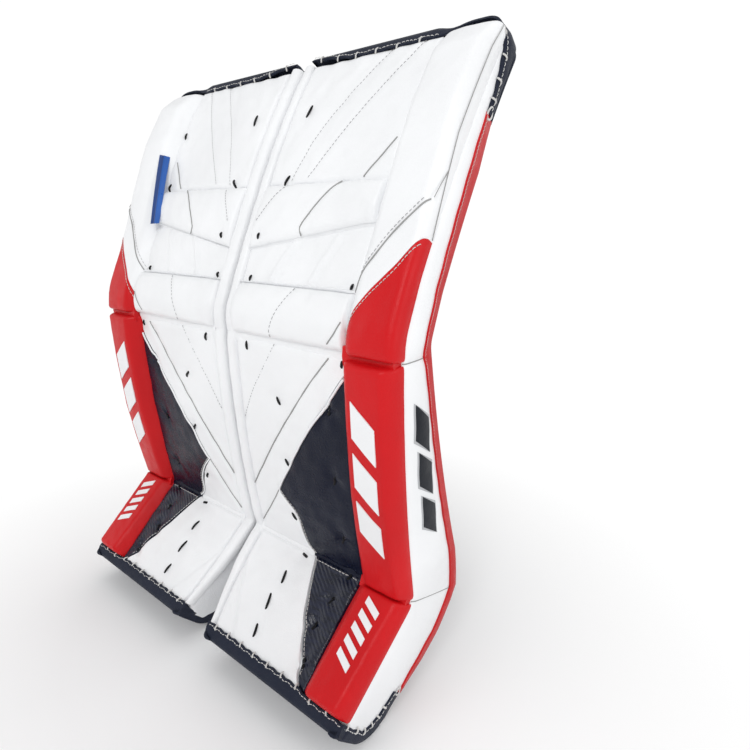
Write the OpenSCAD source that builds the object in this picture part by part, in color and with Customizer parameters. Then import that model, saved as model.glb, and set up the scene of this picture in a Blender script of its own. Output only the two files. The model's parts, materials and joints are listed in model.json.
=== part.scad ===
// Pair of ice hockey goalie leg pads, standing upright side by side.
// +Z is up, the faces look along -Y, and X = 0 lies midway between the two pads.
// The left pad (worn on the left leg) is at +X, and the right pad is its mirror image.
// On a pad, u runs across from the inner edge, s runs up along the face from the toe,
// and n stands out of the face. Each pad bends at the ankle break and at the knee break.

/* [Pad] */
// Length along the face, from toe to top
pad_len = 851; // [820:1:880]
// Width across the face, seam to seam
pad_w = 276; // [268:1:279]
// Gap between the inner edges of the two pads
pair_gap = 28; // [20:1:60]

/* [Face profile] */
// Length of the boot part, from toe to ankle break
boot_len = 159; // [150:1:168]
// Length from the toe to the knee break
knee_s = 462; // [456:1:466]
// Lean of the boot face, from the vertical
boot_lean = 47.3; // [44:0.1:50]
// Lean of the shin face just above the ankle break
ankle_lean = -10.2; // [-12:0.1:-8]
// Lean of the shin face just below the knee bend
shin_lean = -1; // [-2:0.1:1]
// Lean of the thigh face just above the knee bend
knee_lean = 22; // [20:0.1:24]
// Lean of the thigh face half way up
thigh_lean = 26; // [24:0.1:28]
// Lean of the thigh face at the top edge
top_lean = 34.6; // [32:0.1:36]

/* [Thickness] */
// Depth of the side walls at the toe
toe_depth = 60; // [54:1:66]
// Depth of the side walls at the ankle
ankle_depth = 90; // [84:1:96]
// Depth of the side walls at the knee
knee_depth = 38; // [36:1:42]
// Depth of the pad at the top edge
top_depth = 26; // [22:1:30]
// Thickness of the side walls
wall_t = 14; // [12:1:18]
// Thickness of a face cover
skin = 3; // [2:0.5:4]

/* [Rolls] */
// Width of the outer roll, at its base
roll_w = 76; // [70:1:80]
// Height of the shin roll
roll_h = 24; // [18:1:28]
// Height of the bolster on the thigh
bolster_h = 30; // [22:1:34]
// Height of the bolster's tip, at the knee
tip_h = 20; // [16:1:24]
// Height of the knee rolls
knee_roll_h = 12; // [8:1:16]

/* [Flaps and straps] */
// Thickness of the calf and knee wraps
wrap_t = 9; // [6:1:12]
// Reach of a calf wrap behind the pad
calf_reach = 92; // [70:1:100]
// Width of a strap
strap_w = 38; // [25:1:50]
// Thickness of a strap
strap_t = 3; // [2:0.5:4]

/* [Edge changes] */
// How much narrower the toe is on the inner side
toe_taper_in = 19; // [10:1:25]
// How much narrower the toe is on the outer side
toe_taper_out = 11; // [5:1:15]
// How much wider the top is on the outer side
top_flare = 15; // [5:1:20]

/* [Hidden] */

gap = 0.3;           // air left between neighbouring soft pieces
knee_bend = 31;      // length of the bend that starts just above the knee break
bend_s = 469;        // where the knee bend starts
pivot_n = -20;       // depth of the knee pivot behind the face
ankle_flex_room = 14; // wedge of air in front of the ankle pivot, in degrees
ankle_back_room = 12; // the same behind it
knee_room = 10;      // wedge of air each side of the knee pivot
pivot_gap = 0.6;     // half the air left at a pivot line
far = 900;           // larger than any piece

reach = 220;         // length of the cuts at the pivots
binding_t = 14;      // how far the side binding stands behind the walls
cap_t = 4;           // thickness of the binding around the toe
top_cap = 10;        // height of the binding along the top

// Side view of the face, as points from the ankle break upwards
step = 1;
lean_table = [[boot_len, ankle_lean], [bend_s, shin_lean], [bend_s + knee_bend, knee_lean],
    [(bend_s + knee_bend + pad_len) / 2, thigh_lean], [pad_len, top_lean]];
up_steps = (pad_len - boot_len) / step;
side = [for (i = 0, y = 0, z = 0; i <= up_steps;
    y = y + step * sin(lookup(boot_len + (i + 0.5) * step, lean_table)),
    z = z + step * cos(lookup(boot_len + (i + 0.5) * step, lean_table)),
    i = i + 1) [boot_len + i * step, y, z]];
side_y = [for (p = side) [p[0], p[1]]];
side_z = [for (p = side) [p[0], p[2]]];

// Stations along the face: sparse on the straights, close in the knee bend
stations = concat([for (s = [180 : 30 : 450]) s], [for (s = [469 : 6.2 : 500]) s],
    [for (s = [530 : 30 : 840]) s]);

function lean(s) = s < boot_len ? boot_lean : lookup(s, lean_table);
function face_y(s) = s < boot_len ? (s - boot_len) * sin(boot_lean) : lookup(s, side_y);
function face_z(s) = s < boot_len ? (s - boot_len) * cos(boot_lean)
    : lookup(s, side_z) + max(s - pad_len, 0) * cos(top_lean);
// The point at s along the face and n out of it, with a lean a
function off(y, z, a, n) = [y - n * cos(a), z + n * sin(a)];
function at(s, n) = off(face_y(s), face_z(s), lean(s), n);
// Boot and shin points carry straight on past the ankle break, until the cut trims them
function boot_at(s, n) =
    off((s - boot_len) * sin(boot_lean), (s - boot_len) * cos(boot_lean), boot_lean, n);
function shin_at(s, n) = s >= boot_len ? at(s, n) :
    off((s - boot_len) * sin(ankle_lean), (s - boot_len) * cos(ankle_lean), ankle_lean, n);
function between(a, b) = concat([a], [for (s = stations) if (s > a + 2 && s < b - 2) s], [b]);

function wall_depth(s) = lookup(s, [[0, toe_depth], [boot_len, ankle_depth],
    [bend_s, knee_depth], [pad_len, top_depth]]);
function core_depth(s) = lookup(s, [[0, 32], [boot_len, 38], [bend_s, 33], [pad_len, 17]]);

// --- building blocks ---

// Extrudes a side-view outline across the pad, from u0 to u1
module across(u0, u1) {
    rotate([90, 0, 90]) translate([0, 0, u0]) linear_extrude(u1 - u0) children();
}

// Extrudes a front-view outline (u and z) through the pad, front to back
module through() {
    translate([0, far / 2, 0]) rotate([90, 0, 0]) linear_extrude(far) children();
}

module shin_slab(s0, s1, u0, u1, n0, n1) {
    stops = between(s0, s1);
    across(u0, u1) polygon(concat([for (s = stops) shin_at(s, n1)],
        [for (i = [len(stops) - 1 : -1 : 0]) shin_at(stops[i], n0)]));
}

// A slab whose back follows the side walls' or the core's depth
module deep_slab(s0, s1, u0, u1, n1, deep) {
    stops = between(s0, s1);
    across(u0, u1) polygon(concat([for (s = stops) shin_at(s, n1)],
        [for (i = [len(stops) - 1 : -1 : 0]) shin_at(stops[i], -deep(max(stops[i], boot_len)))]));
}

module boot_slab(s0, s1, u0, u1, n0a, n0b, n1) {
    across(u0, u1) polygon([boot_at(s0, n1), boot_at(s1, n1), boot_at(s1, n0b), boot_at(s0, n0a)]);
}

// Directions of the cuts at the two breaks, in the side view: forwards out of the face
ankle_ray = 180 - (boot_lean + ankle_lean) / 2;
knee_ray = 180 - lean(knee_s);
knee_pivot = at(knee_s, pivot_n);
function towards(from, angle, length) = from + length * [cos(angle), sin(angle)];

boot_end = towards([0, 0], ankle_ray + 90, pivot_gap);
shin_start = towards([0, 0], ankle_ray - 90, pivot_gap);
shin_end = knee_pivot - [0, pivot_gap];
thigh_start = knee_pivot + [0, pivot_gap];

module boot_zone() {
    across(-far, far) polygon([boot_end,
        towards(boot_end, ankle_ray + ankle_flex_room / 2, reach), [-far, -far], [far, -far],
        towards(boot_end, ankle_ray + 180 - ankle_back_room / 2, reach)]);
}

module shin_zone() {
    across(-far, far) polygon([shin_start,
        towards(shin_start, ankle_ray - ankle_flex_room / 2, reach),
        towards(shin_end, knee_ray + knee_room / 2, reach), shin_end,
        towards(shin_end, knee_ray + 180 - knee_room / 2, reach),
        towards(shin_start, ankle_ray + 180 + ankle_back_room / 2, reach)]);
}

module thigh_zone() {
    across(-far, far) polygon([thigh_start,
        towards(thigh_start, knee_ray + 180 + knee_room / 2, reach), [far, far], [-far, far],
        towards(thigh_start, knee_ray - knee_room / 2, reach)]);
}

// The pad's outline from the front: tapered toe, straight shin, flared top
toe_z = face_z(0);
flare_z = face_z(560);
top_z = face_z(pad_len);
module plan(outer = 0, inner = 0) {
    through() polygon([[toe_taper_in + inner, toe_z - 100], [toe_taper_in + inner, toe_z],
        [inner, 0], [inner, top_z + 50],
        [pad_w + top_flare - outer, top_z + 50], [pad_w + top_flare - outer, top_z],
        [pad_w - outer, flare_z], [pad_w - outer, 0], [pad_w - toe_taper_out - outer, toe_z],
        [pad_w - toe_taper_out - outer, toe_z - 100]]);
}

// Cuts a front-view outline, given as u and s points, out of what it holds
module face_patch(points) {
    intersection() {
        children();
        through() polygon([for (p = points) [p[0], face_z(p[1])]]);
    }
}

// --- boot ---

wall_in = wall_t + gap;
wall_out = pad_w - wall_t - gap;
roll_u = pad_w - roll_w;

module boot_core() color("gainsboro") intersection() {
    boot_slab(3, 230, 0, pad_w, -core_depth(0), -core_depth(boot_len), -skin - gap);
    boot_zone();
    plan(wall_in, wall_in);
}

module boot_face() color("white") intersection() {
    boot_slab(3, 230, 0, pad_w, -skin, -skin, 0);
    boot_zone();
    plan(wall_in, wall_in);
}

module boot_panel() color("midnightblue") intersection() {
    boot_slab(10, 158, 100, roll_u - gap, gap, gap, gap + 2);
    boot_zone();
    through() polygon([[118, 10], [118, -0.5], [149, face_z(91)], [172, face_z(51)],
        [184, face_z(25)], [198, face_z(12)], [198, 10]]);
}

module boot_roll() color("crimson") intersection() {
    union() {
        boot_slab(18, 200, roll_u, pad_w, gap, gap, 9);
        boot_slab(18, 200, roll_u + 5, pad_w - 4, 9, 9, 22);
    }
    boot_zone();
    plan();
}

// Both side walls of the boot; keep is the side that stays, 0 for inner or 1 for outer
module boot_wall(keep) {
    difference() {
        intersection() {
            across(keep * pad_w / 2, (keep + 1) * pad_w / 2) polygon([boot_at(3, 0),
                boot_at(260, 0), boot_at(260, -ankle_depth), boot_at(boot_len, -ankle_depth),
                boot_at(3, -toe_depth)]);
            boot_zone();
            plan();
        }
        plan(wall_t, wall_t);
    }
}

module boot_outer_wall() color("white") boot_wall(1);
module boot_inner_wall() color("white") boot_wall(0);

module toe_binding() color("midnightblue") intersection() {
    union() {
        boot_slab(-cap_t, 2.7, 0, pad_w, -toe_depth - cap_t, -toe_depth - cap_t, skin);
        boot_slab(-cap_t, 9, 0, pad_w, gap, gap, skin);
    }
    plan();
}

tab_w = 90;
tab_n = -45;
module toe_tab() color("dimgray") {
    mid = pad_w / 2 + 4;
    boot_slab(14, 66, mid - tab_w / 2, mid + tab_w / 2, tab_n - 5, tab_n - 5, tab_n);
}

strap_s = 96;
module boot_strap() color("black") {
    back = -ankle_depth - 8;
    inset = 34;
    boot_slab(strap_s, strap_s + strap_w, inset, inset + strap_t,
        back + strap_t, back + strap_t, -core_depth(strap_s + strap_w) - gap);
    boot_slab(strap_s, strap_s + strap_w, pad_w - inset - strap_t, pad_w - inset,
        back + strap_t, back + strap_t, -core_depth(strap_s + strap_w) - gap);
    boot_slab(strap_s, strap_s + strap_w, inset, pad_w - inset, back, back, back + strap_t);
}

// --- shin ---

module shin_core() color("gainsboro") intersection() {
    deep_slab(60, 500, wall_in, wall_out, -skin - gap, function(s) core_depth(s));
    shin_zone();
}

module shin_face() color("white") intersection() {
    shin_slab(100, 500, wall_in, wall_out, -skin, 0);
    shin_zone();
}

module shin_panel() color("midnightblue") intersection() {
    shin_slab(160, 450, 60, roll_u - gap, gap, gap + 2);
    shin_zone();
    through() polygon([[118, face_z(164)], [105, face_z(180)], [95, face_z(217)],
        [66, face_z(250)], [98, face_z(298)], [135, face_z(352)], [171, face_z(396)],
        [199, face_z(432)], [201, face_z(164)]]);
}

module shin_roll() color("crimson") intersection() {
    union() {
        shin_slab(100, 458, roll_u, pad_w, gap, 10);
        shin_slab(100, 458, roll_u + 6, pad_w - 5, 10, roll_h);
    }
    shin_zone();
}

module shin_wall(u0) {
    intersection() {
        deep_slab(20, 500, u0, u0 + wall_t, 0, function(s) wall_depth(s));
        shin_zone();
    }
}

module shin_outer_wall() color("white") shin_wall(pad_w - wall_t);
module shin_inner_wall() color("white") shin_wall(0);

module edge_strip(s0, s1, u0, u1, front, back) {
    stops = between(s0, s1);
    across(u0, u1) polygon(concat([for (s = stops) at(s, -wall_depth(s) - front)],
        [for (i = [len(stops) - 1 : -1 : 0]) at(stops[i], -wall_depth(stops[i]) - back)]));
}

module side_binding() color("crimson") intersection() {
    edge_strip(165, 460, pad_w - 9, pad_w + 3, gap, binding_t);
    shin_zone();
}

module knee_block() color("whitesmoke") intersection() {
    deep_slab(372, 456, 22, 96, -core_depth(372) - gap, function(s) knee_depth + 50);
    shin_zone();
}

// --- thigh ---

module thigh_core() color("gainsboro") intersection() {
    deep_slab(440, 840, 3, pad_w + top_flare, -skin - gap, function(s) core_depth(s));
    thigh_zone();
    plan(wall_in, 3);
}

module thigh_face() color("white") intersection() {
    shin_slab(440, 840, 3, pad_w + top_flare, -skin, 0);
    thigh_zone();
    plan(wall_in, 3);
}

module lower_knee_roll() color("white") intersection() {
    shin_slab(440, 529, 6, roll_u - 2, gap, knee_roll_h);
    thigh_zone();
}

module upper_knee_roll() color("white") intersection() {
    shin_slab(532, 656, 6, roll_u - 2, gap, knee_roll_h);
    through() polygon([[0, face_z(533)], [roll_u, face_z(533)], [roll_u, top_z], [0, top_z]]);
}

function bolster_rise(s) = lookup(s, [[600, tip_h], [735, bolster_h], [pad_len, bolster_h - 4]]);
module bolster_body() {
    intersection() {
        union() {
            shin_slab(440, 838, roll_u, pad_w + top_flare, gap, 9);
            deep_slab(440, 838, roll_u + 6, pad_w + top_flare - 6, 9, function(s) -bolster_rise(s));
        }
        thigh_zone();
        plan();
    }
}

tip_line = [[roll_u, 478], [233, 528], [258, 556], [pad_w + 1, 587]];
module bolster_tip() color("crimson") face_patch(concat([[roll_u, 440]], tip_line, [[pad_w + 1, 440]]))
    bolster_body();

module thigh_bolster() color("white") face_patch(concat([for (p = tip_line) [p[0], p[1] + 1]],
    [[pad_w + 30, 588], [pad_w + 30, pad_len + 40], [roll_u, pad_len + 40]]))
    bolster_body();

module thigh_outer_wall() color("white") difference() {
    intersection() {
        deep_slab(440, 840, pad_w / 2, pad_w + top_flare, 0, function(s) wall_depth(s));
        thigh_zone();
        plan();
    }
    plan(wall_t, wall_t);
}

// Binding along the top, and down the back edge of the outer wall
top_s = pad_len - top_cap;
module top_binding() color("midnightblue") {
    intersection() {
        shin_slab(top_s, pad_len, 0, pad_w + top_flare + 3, -top_depth - 3, 3);
        plan(-3, 0);
    }
    difference() {
        intersection() {
            edge_strip(744, top_s - gap, pad_w / 2, pad_w + top_flare + 3, gap, binding_t);
            plan(-3, 0);
        }
        plan(9, 9);
    }
}

// --- wraps, hinged along the back edges of the side walls ---

// Extrudes a section (u and distance back) up along the wall's back edge from s0 to s1
module along_edge(s0, s1, clear) {
    low = at(s0, -wall_depth(s0) - clear);
    high = at(s1, -wall_depth(s1) - clear);
    dy = high[0] - low[0];
    dz = high[1] - low[1];
    translate([0, low[0], low[1]]) rotate([-atan2(dy, dz), 0, 0])
        linear_extrude(norm([dy, dz])) children();
}

// A curved band that reaches back and inwards (towards -u), from a to b along its arc
wrap_r = 150;
wrap_start = 34;
module band(a, b, thick) {
    turns = [for (i = [0 : 6]) wrap_start + (a + i * (b - a) / 6) / wrap_r * 180 / PI];
    mid = [for (t = turns) wrap_r * [cos(t) - cos(wrap_start), sin(t) - sin(wrap_start)]];
    polygon(concat([for (i = [0 : 6]) mid[i] + thick / 2 * [cos(turns[i]), sin(turns[i])]],
        [for (i = [6 : -1 : 0]) mid[i] - thick / 2 * [cos(turns[i]), sin(turns[i])]]));
}

outer_hinge_u = pad_w - 22;
inner_hinge_u = 20;
hinge_clear = 9;
calf_low = 212;
calf_high = 352;
module outer_calf_wrap() color("whitesmoke")
    along_edge(calf_low, calf_high, hinge_clear) translate([outer_hinge_u, 0])
        band(0, calf_reach, wrap_t);

module inner_calf_wrap() color("whitesmoke")
    along_edge(calf_low, calf_high, hinge_clear) translate([inner_hinge_u, 0])
        mirror([1, 0]) band(0, calf_reach, wrap_t);

module knee_wrap() color("whitesmoke")
    along_edge(376, 452, hinge_clear) translate([outer_hinge_u, 0]) band(0, 90, wrap_t);

// Strap sewn to the edge of the outer calf wrap; its free end stops short of the inner wrap
module calf_strap() color("black")
    along_edge(264, 264 + strap_w, hinge_clear + 2) translate([outer_hinge_u, 0])
        band(calf_reach + 1, calf_reach + 50, strap_t);

// A plastic hang strip that stands along the bolster's inner side, right pad only
module hang_strip() color("royalblue") {
    stops = [600, 630, 660, 690, 713];
    across(roll_u - 3, roll_u - 1) polygon(concat([for (s = stops) at(s, 31)],
        [for (i = [len(stops) - 1 : -1 : 0]) at(stops[i], 14)]));
}

// --- the pair ---

// The lowest point is the toe's back corner; the origin is under the middle of the pair
base_z = -boot_at(-cap_t, -toe_depth - cap_t)[1];
front_y = boot_at(-cap_t, skin)[0];
back_y = at(top_s - gap, -wall_depth(top_s - gap) - binding_t)[0];
base_y = -(front_y + back_y) / 2;

module left() translate([pair_gap / 2, base_y, base_z]) children();
module right() mirror([1, 0, 0]) left() children();

left() boot_core();  // left_boot_core
left() boot_face();  // left_boot_face
left() boot_panel();  // left_boot_panel
left() boot_roll();  // left_boot_roll
left() boot_outer_wall();  // left_boot_outer_wall
left() boot_inner_wall();  // left_boot_inner_wall
left() toe_binding();  // left_toe_binding
left() toe_tab();  // left_toe_tab
left() boot_strap();  // left_boot_strap
left() shin_core();  // left_shin_core
left() shin_face();  // left_shin_face
left() shin_panel();  // left_shin_panel
left() shin_roll();  // left_shin_roll
left() shin_outer_wall();  // left_shin_outer_wall
left() shin_inner_wall();  // left_shin_inner_wall
left() side_binding();  // left_side_binding
left() knee_block();  // left_knee_block
left() thigh_core();  // left_thigh_core
left() thigh_face();  // left_thigh_face
left() thigh_bolster();  // left_thigh_bolster
left() bolster_tip();  // left_bolster_tip
left() upper_knee_roll();  // left_upper_knee_roll
left() lower_knee_roll();  // left_lower_knee_roll
left() thigh_outer_wall();  // left_thigh_outer_wall
left() top_binding();  // left_top_binding
left() outer_calf_wrap();  // left_outer_calf_wrap
left() inner_calf_wrap();  // left_inner_calf_wrap
left() knee_wrap();  // left_knee_wrap
left() calf_strap();  // left_calf_strap
right() boot_core();  // right_boot_core
right() boot_face();  // right_boot_face
right() boot_panel();  // right_boot_panel
right() boot_roll();  // right_boot_roll
right() boot_outer_wall();  // right_boot_outer_wall
right() boot_inner_wall();  // right_boot_inner_wall
right() toe_binding();  // right_toe_binding
right() toe_tab();  // right_toe_tab
right() boot_strap();  // right_boot_strap
right() shin_core();  // right_shin_core
right() shin_face();  // right_shin_face
right() shin_panel();  // right_shin_panel
right() shin_roll();  // right_shin_roll
right() shin_outer_wall();  // right_shin_outer_wall
right() shin_inner_wall();  // right_shin_inner_wall
right() side_binding();  // right_side_binding
right() knee_block();  // right_knee_block
right() thigh_core();  // right_thigh_core
right() thigh_face();  // right_thigh_face
right() thigh_bolster();  // right_thigh_bolster
right() bolster_tip();  // right_bolster_tip
right() upper_knee_roll();  // right_upper_knee_roll
right() lower_knee_roll();  // right_lower_knee_roll
right() thigh_outer_wall();  // right_thigh_outer_wall
right() top_binding();  // right_top_binding
right() outer_calf_wrap();  // right_outer_calf_wrap
right() inner_calf_wrap();  // right_inner_calf_wrap
right() knee_wrap();  // right_knee_wrap
right() calf_strap();  // right_calf_strap
right() hang_strip();  // right_hang_strip
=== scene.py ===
"""Pair of ice hockey goalie leg pads, standing side by side.

Lengths are in millimetres until to_world() turns them into metres."""
import json
import math
import random

import bmesh
import bpy
import numpy as np
from mathutils import Matrix, Vector

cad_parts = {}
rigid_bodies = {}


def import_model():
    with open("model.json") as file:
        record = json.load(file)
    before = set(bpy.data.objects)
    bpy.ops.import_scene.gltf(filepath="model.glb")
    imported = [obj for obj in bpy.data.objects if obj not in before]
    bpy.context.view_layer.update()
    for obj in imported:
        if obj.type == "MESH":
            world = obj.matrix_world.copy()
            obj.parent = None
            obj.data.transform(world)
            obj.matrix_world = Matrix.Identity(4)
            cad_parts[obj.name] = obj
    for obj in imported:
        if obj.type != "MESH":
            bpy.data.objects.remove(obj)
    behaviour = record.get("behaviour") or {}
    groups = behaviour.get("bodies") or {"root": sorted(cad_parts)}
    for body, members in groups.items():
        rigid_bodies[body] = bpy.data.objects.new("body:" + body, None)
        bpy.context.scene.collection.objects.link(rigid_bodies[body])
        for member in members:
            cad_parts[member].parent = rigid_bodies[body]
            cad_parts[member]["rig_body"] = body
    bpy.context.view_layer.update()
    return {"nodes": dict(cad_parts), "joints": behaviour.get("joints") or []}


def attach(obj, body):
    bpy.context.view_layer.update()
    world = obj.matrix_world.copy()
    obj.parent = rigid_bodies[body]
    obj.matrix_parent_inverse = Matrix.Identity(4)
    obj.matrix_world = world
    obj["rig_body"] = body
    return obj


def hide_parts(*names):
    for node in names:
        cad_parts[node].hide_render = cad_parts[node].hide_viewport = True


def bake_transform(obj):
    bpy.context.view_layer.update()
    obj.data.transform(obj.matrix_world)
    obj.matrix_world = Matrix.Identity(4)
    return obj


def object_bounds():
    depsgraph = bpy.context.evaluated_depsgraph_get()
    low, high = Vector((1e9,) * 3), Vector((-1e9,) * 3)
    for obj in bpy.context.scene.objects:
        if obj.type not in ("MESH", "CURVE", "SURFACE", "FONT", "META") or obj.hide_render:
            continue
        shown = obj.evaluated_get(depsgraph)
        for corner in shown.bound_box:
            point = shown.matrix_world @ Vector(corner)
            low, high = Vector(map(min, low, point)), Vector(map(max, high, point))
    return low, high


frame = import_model()

# ---------------------------------------------------------------- dimensions
BOOT_LEN = 159.0       # toe to ankle break, along the face
KNEE_S = 462.0         # knee break
PAD_LEN = 851.0        # toe to top
PAD_W = 276.0          # across the face, seam to seam
HALF_GAP = 14.0        # inner edge of a pad to the middle of the pair
TOE_IN, TOE_OUT = 19.0, 11.0   # taper at the toe, inner and outer side
FLARE = 15.0           # widening of the outer side at the top
FLARE_S = 551.0        # where the flare starts
CORNER_R = 27.0        # rounding of the top outer corner
TOE_R = 38.0           # rounding of the toe's back corner
ROLL_U = 205.0         # seam between the face and the outer roll
WALL_U = 277.0         # skin of the outer wall
WALL_TOP = 842.0       # upper end of the side walls
SPLIT_S = 310          # middle of the shin, where the side pieces are divided
ROLL_SEAM_S, TOP_SEAM_S = 529.0, 660.0   # seams above the lower and the upper knee roll
BOOT_LEAN, SHIN_LEAN = 47.3, -10.2   # lean of the face back from upright, in degrees
LEANS = [(-60, BOOT_LEAN), (BOOT_LEN, BOOT_LEAN), (BOOT_LEN + 0.01, SHIN_LEAN), (469, -1.0),
         (500, 22.0), (675.5, 26.0), (PAD_LEN, 34.6), (PAD_LEN + 60, 34.6)]
FILLET = 13.0          # half length of the soft bend at the ankle break
WAVE = math.pi / 24    # one scallop of a binding's edge every 24 mm
WRAP_R = 150           # radius of the wraps on the back
SHARP = math.radians(55)   # edges sharper than this aren't shaded smooth
BACKDROP = 1.02        # brightness of the floor's far part and of the dome
AMBIENT = 0.59         # light from all round
LAMP_AIM = (0, 0, 0.4)
CAMERA_AT = (0.60286, -0.48090, 0.59498)
CAMERA_TURN = (-38.782, -15.454, 0.259)   # yaw, pitch and tilt in degrees

ankle = next(j for j in frame["joints"] if j["name"] == "left_boot_flex")["pos_m"]
knee = next(j for j in frame["joints"] if j["name"] == "left_thigh_flex")["pos_m"]
SIDES = {"left": 1, "right": -1}


# ---------------------------------------------------------------- pad coordinates
def make_profile():
    """Side view of the face: y, z and lean at every millimetre of s, from the ankle joint."""
    s = np.arange(-60.0, PAD_LEN + 61.0)
    knots = np.array(LEANS)
    mid = np.radians(np.interp(s[:-1] + 0.5, knots[:, 0], knots[:, 1]))
    y = np.concatenate([[0], np.cumsum(np.sin(mid))])
    z = np.concatenate([[0], np.cumsum(np.cos(mid))])
    y -= np.interp(BOOT_LEN, s, y)
    z -= np.interp(BOOT_LEN, s, z)
    lean = np.radians(np.interp(s, knots[:, 0], knots[:, 1]))
    # the soft bend: a quadratic curve between the two straights
    low, high = BOOT_LEN - FILLET, BOOT_LEN + FILLET
    bend = (s > low) & (s < high)
    t = (s[bend] - low) / (high - low)
    p0 = np.array([np.interp(low, s, y), np.interp(low, s, z)])
    p2 = np.array([np.interp(high, s, y), np.interp(high, s, z)])
    curve = p0 * ((1 - t) ** 2)[:, None] + p2 * (t ** 2)[:, None]
    slope = -2 * p0 * (1 - t)[:, None] + 2 * p2 * t[:, None]
    y[bend], z[bend] = curve[:, 0], curve[:, 1]
    lean[bend] = np.arctan2(slope[:, 0], slope[:, 1])
    return s, y, z, lean


PROFILE = make_profile()


def edges(s):
    """How far the inner and outer edges move in at s."""
    toe = np.clip(1 - s / BOOT_LEN, 0, 1.1)
    top = np.clip((s - FLARE_S) / (PAD_LEN - FLARE_S), 0, 1.1)
    return TOE_IN * toe ** 2, TOE_OUT * toe - FLARE * top


def corner(s):
    """Inset of the outer edge at the rounded top corner."""
    over = np.clip(s - (PAD_LEN - CORNER_R), 0, CORNER_R * 0.98)
    return CORNER_R - np.sqrt(CORNER_R ** 2 - over ** 2)


def to_world(x, y, z):
    """World points, in metres, from millimetres beside, behind and above the ankle joint."""
    return np.stack([x / 1000, y / 1000 + ankle[1], z / 1000 + ankle[2]], -1)


def place(side, u, s, n):
    """World points, in metres, of pad coordinates: u across, s along the face, n out of it."""
    u, s, n = np.broadcast_arrays(np.asarray(u, float), np.asarray(s, float), np.asarray(n, float))
    y, z, lean = (np.interp(s, PROFILE[0], column) for column in PROFILE[1:])
    inner, outer = edges(s)
    x = HALF_GAP + inner + u / PAD_W * (PAD_W - inner - outer)
    x = side * (x - corner(s) * np.clip((u - ROLL_U) / (PAD_W - ROLL_U), 0, 1.1))
    return to_world(x, y - n * np.cos(lean), z + n * np.sin(lean))


def wall_depth(s):
    """How far the side walls reach behind the face."""
    return np.interp(s, [0, BOOT_LEN, 469, PAD_LEN], [72, 87, 38, 26])


def core_depth(s):
    """How far the padding between the walls reaches behind the face."""
    return np.interp(s, [0, BOOT_LEN, 469, PAD_LEN], [32, 38, 33, 17])


def knee_top(u):
    """s of the lower edge of the upper knee roll, which slants up towards the outer side."""
    return 570 + 37 * np.clip(u / ROLL_U, 0, 1) ** 1.05


# ---------------------------------------------------------------- mesh helpers
def smooth(x, low, high):
    """0 below low, 1 above high, and an even curve between them."""
    t = np.clip((x - low) / (high - low), 0, 1)
    return t * t * (3 - 2 * t)


def grid_faces(rows, columns, wrap=False):
    faces = []
    for i in range(rows - 1):
        for j in range(columns if wrap else columns - 1):
            a, b = i * columns + j, i * columns + (j + 1) % columns
            faces.append((a, b, b + columns, a + columns))
    return faces


def slab_mesh(top, bottom):
    """A closed sheet between two grids of points of the same size."""
    rows, columns = top.shape[:2]
    count = rows * columns
    verts = np.concatenate([top.reshape(-1, 3), bottom.reshape(-1, 3)])
    faces = grid_faces(rows, columns)
    faces += [tuple(reversed([v + count for v in f])) for f in faces]
    rim = [*range(columns), *range(2 * columns - 1, count, columns),
           *range(count - 2, count - columns - 1, -1), *range(count - 2 * columns, 0, -columns)]
    for a, b in zip(rim, rim[1:] + rim[:1]):
        faces.append((b, a, a + count, b + count))
    return verts, faces


def loft_mesh(rings):
    """A closed skin through rings of points; each end is closed by a fan to its middle."""
    rings = np.asarray(rings)
    rows, columns = rings.shape[:2]
    verts = np.concatenate([rings.reshape(-1, 3), rings[0].mean(0)[None], rings[-1].mean(0)[None]])
    faces = grid_faces(rows, columns, wrap=True)
    first, last = rows * columns, rows * columns + 1
    for j in range(columns):
        k = (j + 1) % columns
        faces.append((first, k, j))
        faces.append((last, (rows - 1) * columns + j, (rows - 1) * columns + k))
    return verts, faces


def tube_mesh(points, radius, sides=8, flat=1.0, out=None):
    """A round tube along world points, with round ends. out is each point's outward direction."""
    points = np.asarray(points, float)
    ahead = np.gradient(points, axis=0)
    ahead /= np.linalg.norm(ahead, axis=1)[:, None] + 1e-12
    if out is None:
        out = np.tile([0.0, -1.0, 0.2], (len(points), 1))
    out = np.asarray(out, float)
    out = out - ahead * (out * ahead).sum(1)[:, None]
    out /= np.linalg.norm(out, axis=1)[:, None] + 1e-12
    across = np.cross(ahead, out)
    turn = np.linspace(0, 2 * math.pi, sides, endpoint=False)

    def ring(i, beyond=0.0, scale=1.0):
        centre = points[i] + ahead[i] * radius * beyond
        return [centre + scale * radius * (math.cos(a) * across[i] + math.sin(a) * flat * out[i])
                for a in turn]
    caps = [(math.cos(a * math.pi / 2), math.sin(a * math.pi / 2)) for a in (0.25, 0.6)]
    return loft_mesh([ring(0, -beyond, scale) for beyond, scale in caps]
                     + [ring(i) for i in range(len(points))]
                     + [ring(-1, beyond, scale) for beyond, scale in caps[::-1]])


def join_meshes(parts):
    verts, faces, count = [], [], 0
    for v, f in parts:
        verts.append(np.asarray(v))
        faces += [tuple(k + count for k in face) for face in f]
        count += len(v)
    return np.concatenate(verts), faces


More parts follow.
